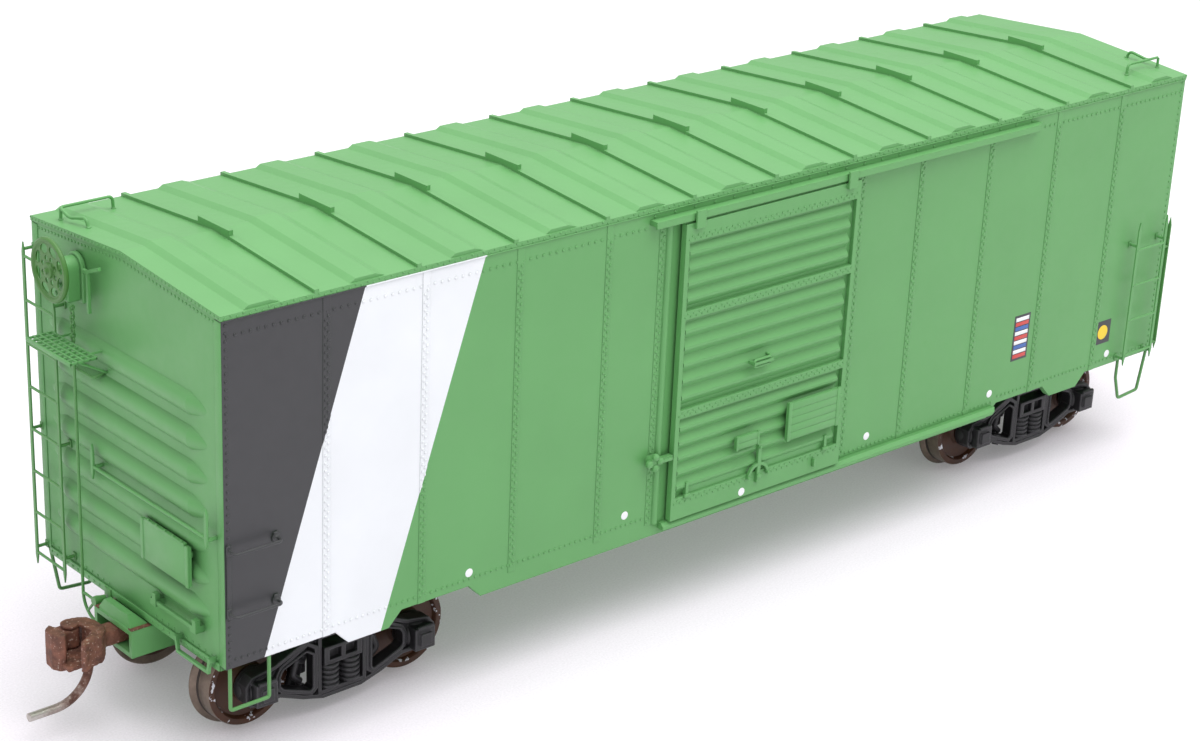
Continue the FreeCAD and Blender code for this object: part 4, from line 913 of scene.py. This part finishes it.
def buildRoofGrab(values, wires):
    (x, y, z), along, across = values["corner"], values["along"], values["across"]
    far = roofHeight(y) + shellValues["roofThick"]
    near = roofHeight(y - across) + shellValues["roofThick"]
    parts = [wire([(x + along + .1, y, far - .1), (x + along, y, z), (x, y, z), (x + .2, y - 1.5, z - .7),
                   (x + .6, y - 4, z - .1), (x + .6, y - across, near - .1)], wires["grab"], wires["bend"]),
             wire([(x + .1, y, far - .1), (x + .1, y, z - .1)], wires["grab"])]
    for foot in ((x + along + .1, y, far), (x + .1, y, far), (x + .6, y - across, near)):
        parts.append(standing("top", foot, values["foot"], 12))
    finishPair(parts, "wire_roof_grab", endPair, nodes=("roof_grab",))


# steps under the sills: the outer ones square, the inner ones with their near leg cranked in
def buildSteps(wires):
    inset = wires["step"]
    for node, twin, crank in (("step_left_brake", "step_right_plain", 0), ("step_left_plain", "step_right_brake", 1.0)):
        low, high = span(node)
        y = (low.y + high.y) / 2
        left, right, foot, top = low.x + inset, high.x - inset, low.z + inset, high.z + .3
        path = [(left, top), (left, foot), (right, foot), (right, top)]
        if crank:
            path = [(left, top), (left, foot + 2.2), (left + crank, foot - .9), (right + crank, foot - .6),
                    (right + crank * 2, top)]
        piece = wire([(x, y, z) for x, z in path], inset, .3)
        for item, name in ((piece, node), (copyOf(piece, halfTurn), twin)):
            finishPiece([item], "wire_" + name, (wireEnamel,), (name,))


for ladderName in ladderValues:
    buildLadder(ladderName, wireValues)
buildGrabs(grabValues, wireValues)
buildEndRail(endRailValues, wireValues)
buildRoofGrab(roofGrabValues, wireValues)
buildSteps(wireValues)
print("ladders, grabs and steps bent")


# the hand brake is on the brake end only
brakeValues = {
    "place": (7.7, 3.35, 46.3),  # mm, the wheel's middle: along, out from the end sheet, up
    # distance along the shaft and radius of the turned wheel
    "steps": ((-.02, .3), (-.02, 2.72), (-.22, 2.84), (-.26, 3.12), (-.1, 3.29), (.12, 3.29), (.28, 3.14), (.27, 2.88),
              (.12, 2.74), (.12, .82), (.36, .74), (.38, .42), (.3, .3)),
    "shaft": ((-1.05, .5), (.3, .48), (.45, .3), (.55, .28), (.6, .18)),
    # windows and holes: how many, how far from the shaft, half sizes
    "openings": ((8, 2.17, (.47, .7)), (8, 1.22, (.28, .28))),
}

housingValues = {
    "narrower": 1.45,       # mm, than the node, and lower
    "lower": .75,
    "flange": .55,
    "boxInset": .32,
    "edge": .12,
    "bolt": ((0, .26), (.2, .24), (.26, .12)),
    "boltInset": (.7, .8),
}

rodValues = {
    "inset": 1.6,           # mm, chain and rod in from the edge of the housing
    "chainLink": .62,
    "linkPitch": .78,       # of a link
    "rod": .17,
    "spoke": .15,
    "sheaveRadius": 2.4,
    "sheaveTurns": range(0, -106, -15),
    "spokeTurns": (0, -48, -92),
    "hub": ((0, .5), (.5, .5), (.9, .4), (1.35, .35)),
}

platformValues = {
    "edgeX": -72.68,
    "wide": .2,
    "thick": .28,
    "bars": 5,
    "slats": 11,
    "braces": (1.6, 7.2),
    "brace": .13,
}


# points of an arc, its turns in degrees
def arc(middle, radius, turns):
    return [(middle[0] + radius * math.cos(math.radians(turn)), middle[1] + radius * math.sin(math.radians(turn)))
            for turn in turns]


def buildBrakeWheel(values):
    wheel = turned(values["steps"])
    cutters = []
    for count, reach, size in values["openings"]:
        for number in range(count):
            angle = 2 * math.pi * (number + .5) / count
            clearSelection()
            bpy.ops.mesh.primitive_cylinder_add(vertices=14, radius=1, depth=2,
                                                location=(reach * math.cos(angle), reach * math.sin(angle), 0),
                                                rotation=(0, 0, angle), scale=(*size, 1))
            cutters.append(bpy.context.object)
    cutter = joined(cutters)
    useModifier(wheel, "BOOLEAN", {"operation": "DIFFERENCE", "object": cutter, "solver": "EXACT"})
    bpy.data.objects.remove(cutter)
    place = spot("brake", *values["place"])
    wheel.data.transform(Matrix.Translation(place) @ facings["brake"])
    finishPiece([wheel, standing("brake", place, values["shaft"], 6)], "cast_brake_wheel", (wheelEnamel,),
                ("brake_wheel",), smooth=30)


# the housing: a flange and a box on it, both with arched tops, and a drum in front
def buildBrakeHousing(values):
    low, high = span("brake_housing")
    right, left, end = low.y + values["narrower"], high.y, -shellValues["end"]
    middle, half = (right + left) / 2, (left - right) / 2
    crown = high.z - values["lower"] - half
    parts = []
    for inset, back, front in ((0, 0, values["flange"]), (values["boxInset"], .5, high.x - low.x - .25)):
        outline = [(right + inset, low.z + inset), (left - inset, low.z + inset)]
        outline += arc((middle, crown), half - inset, range(0, 181, 20))
        parts.append(slab([(end - back, y, z) for y, z in outline], (back - front, 0, 0), values["edge"]))
    drum = ((0, half - .5), (.2, half - .5), (.35, half - .7), (.35, .9), (.55, .75), (.55, .3))
    parts.append(standing("brake", (low.x + .3, middle, crown), drum, 40))
    across, up = values["boltInset"]
    for y, z in ((right + across, low.z + up), (left - across, low.z + up), (middle, low.z + 1.9)):
        parts.append(standing("brake", (low.x + .3, y, z), values["bolt"], 6))
    finishPiece(parts, "brake_housing_box", nodes=("brake_housing",))


# chain of flat links to the platform, then a rod down to the quarter sheave
def buildBrakeRod(values):
    low = span("brake_housing")[0]
    deck = span("brake_platform")[1].z
    foot = span("end_brake")[0].z
    x, y = span("brake_chain")[0].x + .2, low.y + values["inset"]
    link, parts = values["chainLink"], []
    pitch = link * values["linkPitch"]
    for number in range(int((low.z - deck + .3) / pitch)):
        z = low.z + .1 - pitch * (number + .5)
        clearSelection()
        bpy.ops.mesh.primitive_torus_add(major_segments=12, minor_segments=6, major_radius=.22, minor_radius=.12,
                                         location=(x, y, z),
                                         rotation=(math.radians(90), 0, math.radians(number % 2 * 90)))
        ring = bake(bpy.context.object)
        ring.data.transform(Matrix.Translation((0, 0, z)) @ Matrix.Diagonal((1, 1, link / .58, 1))
                            @ Matrix.Translation((0, 0, -z)))
        parts.append(ring)
    parts.append(wire([(x, y, deck + .2), (x, y, foot)], values["rod"], 0))
    finishPiece(parts, "brake_rod_and_chain", (wireEnamel,), ("brake_chain",))
    radius = values["sheaveRadius"]
    hub = (y - radius, foot + .2)
    parts = [wire([(x, *point) for point in arc(hub, radius, values["sheaveTurns"])], values["rod"], .1, 1)]
    for point in arc(hub, radius, values["spokeTurns"]):
        parts.append(wire([(x, *hub), (x, *point)], values["spoke"]))
    parts.append(standing("plain", (x - .25, *hub), values["hub"], 16))
    parts.append(pad("brake", (hub[0] - .6, .35, hub[1] - .7), (hub[0] + .6, 0, foot + 1.2), .06))
    finishPiece(parts, "brake_quarter_sheave", (wireEnamel,), ("brake_sheave",))


def buildPlatform(values):
    low, high = span("brake_platform")
    wide, thick = values["wide"], values["thick"]
    x0, x1, y0, y1, top = low.x, values["edgeX"], low.y, high.y, high.z
    parts = []
    for number in range(values["bars"]):
        x = x0 + (x1 - x0 - wide) * number / (values["bars"] - 1)
        parts.append(block((x, y0, top - thick), (x + wide, y1, top), .03))
    for number in range(values["slats"]):
        y = y0 + (y1 - y0 - wide) * number / (values["slats"] - 1)
        parts.append(block((x0, y, top - thick), (x1, y + wide, top - .03), .03))
    parts.append(block((x0 - .02, y0, top - .42), (x0 + .14, y1, top + .02), .03))
    end = -shellValues["end"]
    for y in [y0 + shift for shift in values["braces"]]:
        parts.append(wire([(x0 + .9, y, top - .35), (end, y, low.z + .3)], values["brace"]))
        parts.append(wire([(x1 - .2, y, top - .3), (end, y, top - .3)], values["brace"]))
    finishPiece(parts, "brake_platform_grating", nodes=("brake_platform",))


buildBrakeWheel(brakeValues)
buildBrakeHousing(housingValues)
buildBrakeRod(rodValues)
buildPlatform(platformValues)
print("hand brake built")


boardValues = {
    "planks": 5,
    "gap": .014,            # mm, between planks
    "proud": .05,
    "stripWide": .5,
    "card": {"planks": 2, "stripWide": .28},
    "placard": {"planks": 1, "proud": .06},
    "placardBolts": 5,
    "boltPitch": 1.45,
}


# planks and edge strips on the face of a bare board: low and high are along and up, out is its face
def facedBoard(facing, low, high, out, values):
    (u0, z0), (u1, z1) = low, high
    proud, strip, half = values["proud"], values["stripWide"], values["gap"] / 2
    tall = (z1 - z0) / values["planks"]
    parts = []
    for number in range(values["planks"]):
        parts.append(pad(facing, (u0, out + proud, z0 + tall * number + half),
                         (u1, out - .05, z0 + tall * (number + 1) - half), .03))
    for u in (u0 - .05, u1 + .05 - strip):
        parts.append(pad(facing, (u, out + proud * 1.9, z0 - .12), (u + strip, out - .1, z1 + .12)))
    return parts


def bolt(facing, along, out, up, radius, sides=6):
    return standing(facing, spot(facing, along, out, up), ((-.05, radius), (.12, radius), (.18, radius * .5)), sides)


def buildBoards(values):
    low, high = span("door_board_left")
    out = -low.y - shellValues["side"]
    parts = facedBoard("left", (low.x, low.z), (high.x, high.z), out, values)
    for z in (low.z + .9, high.z - 1.0):
        parts.append(pad("left", (high.x - .1, out + .1, z - .2), (high.x + .3, out - .3, z + .2)))
    finishPair(parts, "door_board_planks", sidePair, bodies=doorPair)
    low, high = span("door_card_left")
    out = -low.y - shellValues["side"]
    parts = facedBoard("left", (low.x, low.z), (high.x, high.z), out, dict(values, **values["card"]))
    finishPair(parts, "door_card_planks", sidePair, bodies=doorPair)
    low, high = span("placard_brake")
    out = -low.x - shellValues["end"]
    parts = facedBoard("brake", (low.y, low.z), (high.y, high.z), out, dict(values, **values["placard"]))
    parts.append(pad("brake", (low.y + .6, out + .08, high.z - .05), (high.y - .6, out - .35, high.z + .22)))
    for number in range(values["placardBolts"]):
        parts.append(bolt("brake", low.y + 1.2 + number * values["boltPitch"], out - .1, high.z + .24, .16))
    finishPair(parts, "placard_frame", endPair)


# all on the left side, as along, out and up
fittingValues = {
    "pull": ((-.55, .9, 28.8), (-.7, 1.8, 28.8), (-3.25, 1.8, 28.8), (-3.25, 1.8, 28.0), (-.7, 1.8, 28.0),
             (-.55, .9, 28.0)),
    "pullRadius": .15,
    "pullBend": .32,
    "bolts": ((-.9, 1.38, 14.2, .34, 10), (-.9, 1.38, 17.7, .2), (-2.4, 1.38, 14.3, .2), (.6, 1.38, 14.3, .2)),
    "plates": (((-12.05, 1.3, 14.5), (-11.15, 1.0, 14.9)), ((9.35, 1.3, 14.5), (10.25, 1.0, 14.9)),
               ((7.9, 1.45, 12.9), (8.2, 1.0, 13.9))),
    "plateEdge": .05,
    "lobes": ((-17.25, .95, 19.8), (-16.4, .95, 20.42), (-16.4, .95, 19.18), (-15.75, .95, 19.85)),
    "lobe": ((-.2, .42), (.12, .42), (.26, .3), (.32, .12)),
    "haspBar": ((-16.2, 1.15, 19.58), (-14.0, .85, 19.96)),
}


def buildDoorFittings(values):
    # double bar of the pull, bolts of the lever and small plates
    parts = [rail("left", values["pull"], values["pullRadius"], values["pullBend"])]
    parts += [bolt("left", *place) for place in values["bolts"]]
    parts += [pad("left", low, high, values["plateEdge"]) for low, high in values["plates"]]
    finishPair(parts, "door_fittings", sidePair, bodies=doorPair)
    # hasp at the door post: a knob of four lobes with a bar towards the door
    parts = [standing("left", spot("left", *place), values["lobe"], 14) for place in values["lobes"]]
    parts.append(pad("left", *values["haspBar"], .08))
    finishPair(parts, "door_hasp", sidePair)


markValues = {
    "dots": ((-41.0, 13.65), (-19.65, 14.1), (18.0, 13.65), (39.55, 13.65), (61.9, 13.65)),
    "dotRadius": .48,
    "doorDot": (-3.1, 1.05, 12.75),
    "plate": ((59.0, 15.3), (62.0, 18.4)),
    "discRadius": .95,
    "bars": ((42.9, 17.0), (45.8, 22.9)),
    "barInset": (.28, .25),
    "barGap": .06,
    "barTones": ("red", "white", "blue", "white", "red", "white", "blue", "red", "white"),
}


def inkDot(along, out, up, radius):
    return standing("left", spot("left", along, out, up), ((-.03, radius), (.015, radius), (.025, radius * .9)), 20)


def inkPatch(low, high, out):
    return pad("left", (low[0], out, low[1]), (high[0], out - .04, high[1]), .01)


def buildMarks(values):
    dots = [inkDot(x, 0, z, values["dotRadius"]) for x, z in values["dots"]]
    finishPair(dots, "mark_dots", sidePair, (inks["white"],))
    dot = inkDot(*values["doorDot"], values["dotRadius"])
    finishPair([dot], "mark_door_dot", sidePair, (inks["white"],), bodies=doorPair)
    low, high = values["plate"]
    finishPair([inkPatch(low, high, .02)], "mark_square", sidePair, (inks["dark"],))
    disc = inkDot((low[0] + high[0]) / 2, .03, (low[1] + high[1]) / 2, values["discRadius"])
    finishPair([disc], "mark_disc", sidePair, (inks["yellow"],))
    low, high = values["bars"]
    finishPair([inkPatch(low, high, .02)], "mark_plate", sidePair, (inks["dark"],))
    across, up = values["barInset"]
    gap, step = values["barGap"], (high[1] - low[1] - up * 2) / len(values["barTones"])
    for tone in ("red", "white", "blue"):
        places = [low[1] + up + step * number for number, item in enumerate(values["barTones"]) if item == tone]
        bars = [inkPatch((low[0] + across, z + gap), (high[0] - across, z + step - gap), .04) for z in places]
        finishPair(bars, "mark_bars_" + tone, sidePair, (inks[tone],))


buildBoards(boardValues)
buildDoorFittings(fittingValues)
buildMarks(markValues)
print("boards, door fittings and marks added")


castingValues = {
    "voxel": .11,           # mm, grain of the casting's surface
    "rough": .13,
    "knuckleRough": .06,
    "lumps": .55,           # mm, size of the lumps of the cast surface
    "web": ((76.2, -1.9, 8.0), (79.4, 1.9, 8.5)),
    "knuckleFoot": 7.6,     # the pin begins here
    "pinRadius": .46,
    "pinBend": 4.1,
    "pinPath": ((75.95, 8.3), (75.95, 3.35), (83.0, 3.35)),  # from the middle, and up
}


# a node's own shape with its edges melted and its skin lumpy, as cast
def castCopy(name, values, cutBelow=None, web=None):
    piece = copyOf(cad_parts[name], Matrix.Scale(1 / mm, 4))
    if web:
        piece = joined([piece, web])
    piece.data.materials.clear()
    choose(piece)
    bpy.ops.object.mode_set(mode="EDIT")
    bpy.ops.mesh.select_all(action="SELECT")
    bpy.ops.mesh.remove_doubles(threshold=.0005)
    if cutBelow:
        bpy.ops.mesh.bisect(plane_co=(0, 0, cutBelow), plane_no=(0, 0, 1), clear_inner=True, use_fill=True)
    bpy.ops.object.mode_set(mode="OBJECT")
    useModifier(piece, "REMESH", {"mode": "VOXEL", "voxel_size": values["voxel"], "adaptivity": 0})
    useModifier(piece, "SMOOTH", {"factor": .6, "iterations": 3})
    lumps = bpy.data.textures.new("castLumps", "CLOUDS")
    lumps.noise_scale = values["lumps"]
    lumps.noise_depth = 2
    return useModifier(piece, "DISPLACE", {"texture": lumps, "strength": values["rough"], "mid_level": .55,
                                           "texture_coords": "LOCAL"})


def buildCouplers(values):
    for name, way in (("brake", -1), ("plain", 1)):
        coupler, knuckle = "coupler_" + name, "knuckle_" + name
        # the floor of the mouth is closed
        (near, right, low), (far, left, high) = values["web"]
        web = block((min(way * far, way * near), right, low), (max(way * far, way * near), left, high), .1)
        head = castCopy(coupler, values, web=web)
        finishPiece([head], "cast_" + coupler, (rustCasting,), (coupler,), coupler, 60)
        jaw = castCopy(knuckle, dict(values, rough=values["knuckleRough"]), values["knuckleFoot"])
        finishPiece([jaw], "cast_" + knuckle, (rustCasting,), (), knuckle, 60)
        pin = wire([(way * x, 0, z) for x, z in values["pinPath"]], values["pinRadius"], values["pinBend"], 14, 5)
        finishPiece([pin], "trip_pin_" + name, (rustedPin,), (knuckle,), knuckle, 40)


lidValues = {
    "top": 11.25,
    "strips": ((-3.44, -2.75), (2.75, 3.44)),
}


def buildBoxLids(values):
    front, top = span("coupler_box_brake")[0].x + .05, values["top"]
    parts = [block((front, right, top - .05), (-70.8, left, top + .12), .03) for right, left in values["strips"]]
    finishPair(parts, "coupler_box_lid", endPair, (rustCasting,))


buildCouplers(castingValues)
buildBoxLids(lidValues)
print("couplers cast")


truckValues = {
    "trucks": (("brake", -53.75), ("plain", 53.75)),
    "axleX": 9.9,
    "axleZ": 5.45,
    "frameFace": 12.4,
    "springX": 1.3,
    "springY": 11.65,
    "springLow": 3.0,
    "springHigh": 5.9,
    "coils": 5,
    "coilRadius": 1.17,
    # distance from the car's middle and radius of a journal box
    "barrel": ((10.3, 1.5), (10.35, 2.05), (11.0, 2.05), (11.6, 1.9), (12.2, 1.55), (12.5, 1.2)),
    "hinge": (1.0, 13.35, 1.35),  # half length, out, and up from the axle
    # one window of the side frame, along from the truck's middle and up
    "eye": ((3.6, 3.7), (4.0, 3.4), (7.3, 4.65), (7.8, 5.15), (7.8, 6.35), (7.4, 7.05), (4.5, 8.2), (3.6, 7.6)),
    "lip": .15,
    "shoeInner": 5.02,      # mm from the axle
    "shoeOuter": 6.3,
    "shoeTurn": 32,         # degrees either way
    "shoeOut": 8.3,
    "shoeWide": 2.0,
    # in from the axle, out from the car's middle, up
    "head": ((6.9, 8.6, 4.3), (5.9, 10.2, 6.4)),
    "hanger": ((6.5, 10.4, 7.9), (6.1, 10.7, 6.1), (5.2, 10.9, 6.7), (4.6, 11.0, 5.0), (5.6, 10.9, 4.1)),
    "tail": ((5.9, 10.6, 3.6), (5.4, 10.8, 2.2)),
}


def coilSteps(values):
    low, high, coils = values["springLow"], values["springHigh"], values["coils"]
    pitch = (high - low) / coils
    steps = [(low, .6)]
    for number in range(coils):
        for share, radius in ((.06, .74), (.32, 1), (.66, 1), (.92, .74)):
            steps.append((low + pitch * (number + share), values["coilRadius"] * radius))
    steps.append((high, .6))
    return steps


# springs and journal boxes of one side frame
def journalParts(centre, way, values):
    parts = []
    half, out, up = values["hinge"]
    for x in (-values["springX"], values["springX"]):
        parts.append(standing("top", (centre + x, way * values["springY"], 0), coilSteps(values), 18))
    for x in (centre - values["axleX"], centre + values["axleX"]):
        parts.append(standing("left" if way < 0 else "right", (x, 0, values["axleZ"]), values["barrel"], 28))
        # hinge over the journal lid
        parts.append(wire([(x - half, way * out, values["axleZ"] + up), (x + half, way * out, values["axleZ"] + up)],
                          .22))
    return parts


# by one wheel: the lip of the window, brake shoe by the tread, its head and the hanger down to the beam
def brakeParts(centre, way, side, values):
    axle, level = centre + side * values["axleX"], values["axleZ"]
    eye = [(centre + side * x, way * values["frameFace"], z) for x, z in values["eye"]]
    turn = values["shoeTurn"]
    rim = arc((0, level), values["shoeInner"], range(-turn, turn + 1, 8))
    rim += arc((0, level), values["shoeOuter"], range(turn, -turn - 1, -8))
    head, hanger, tail = [[(axle - side * x, way * y, z) for x, y, z in values[name]]
                          for name in ("head", "hanger", "tail")]
    return [wire(eye + eye[:1], values["lip"], .12),
            slab([(axle - side * x, way * values["shoeOut"], z) for x, z in rim], (0, way * values["shoeWide"], 0), .1),
            block(*head, .2), wire(hanger, .38, .3), wire(tail, .42)]


def buildTruckDetails(values):
    for name, centre in values["trucks"]:
        parts = []
        for way in (-1, 1):
            parts += journalParts(centre, way, values)
            for side in (-1, 1):
                parts += brakeParts(centre, way, side, values)
        finishPiece(parts, "truck_fittings_" + name, (blackAcetal,), (), "truck_" + name)


buildTruckDetails(truckValues)
print("truck fittings added")
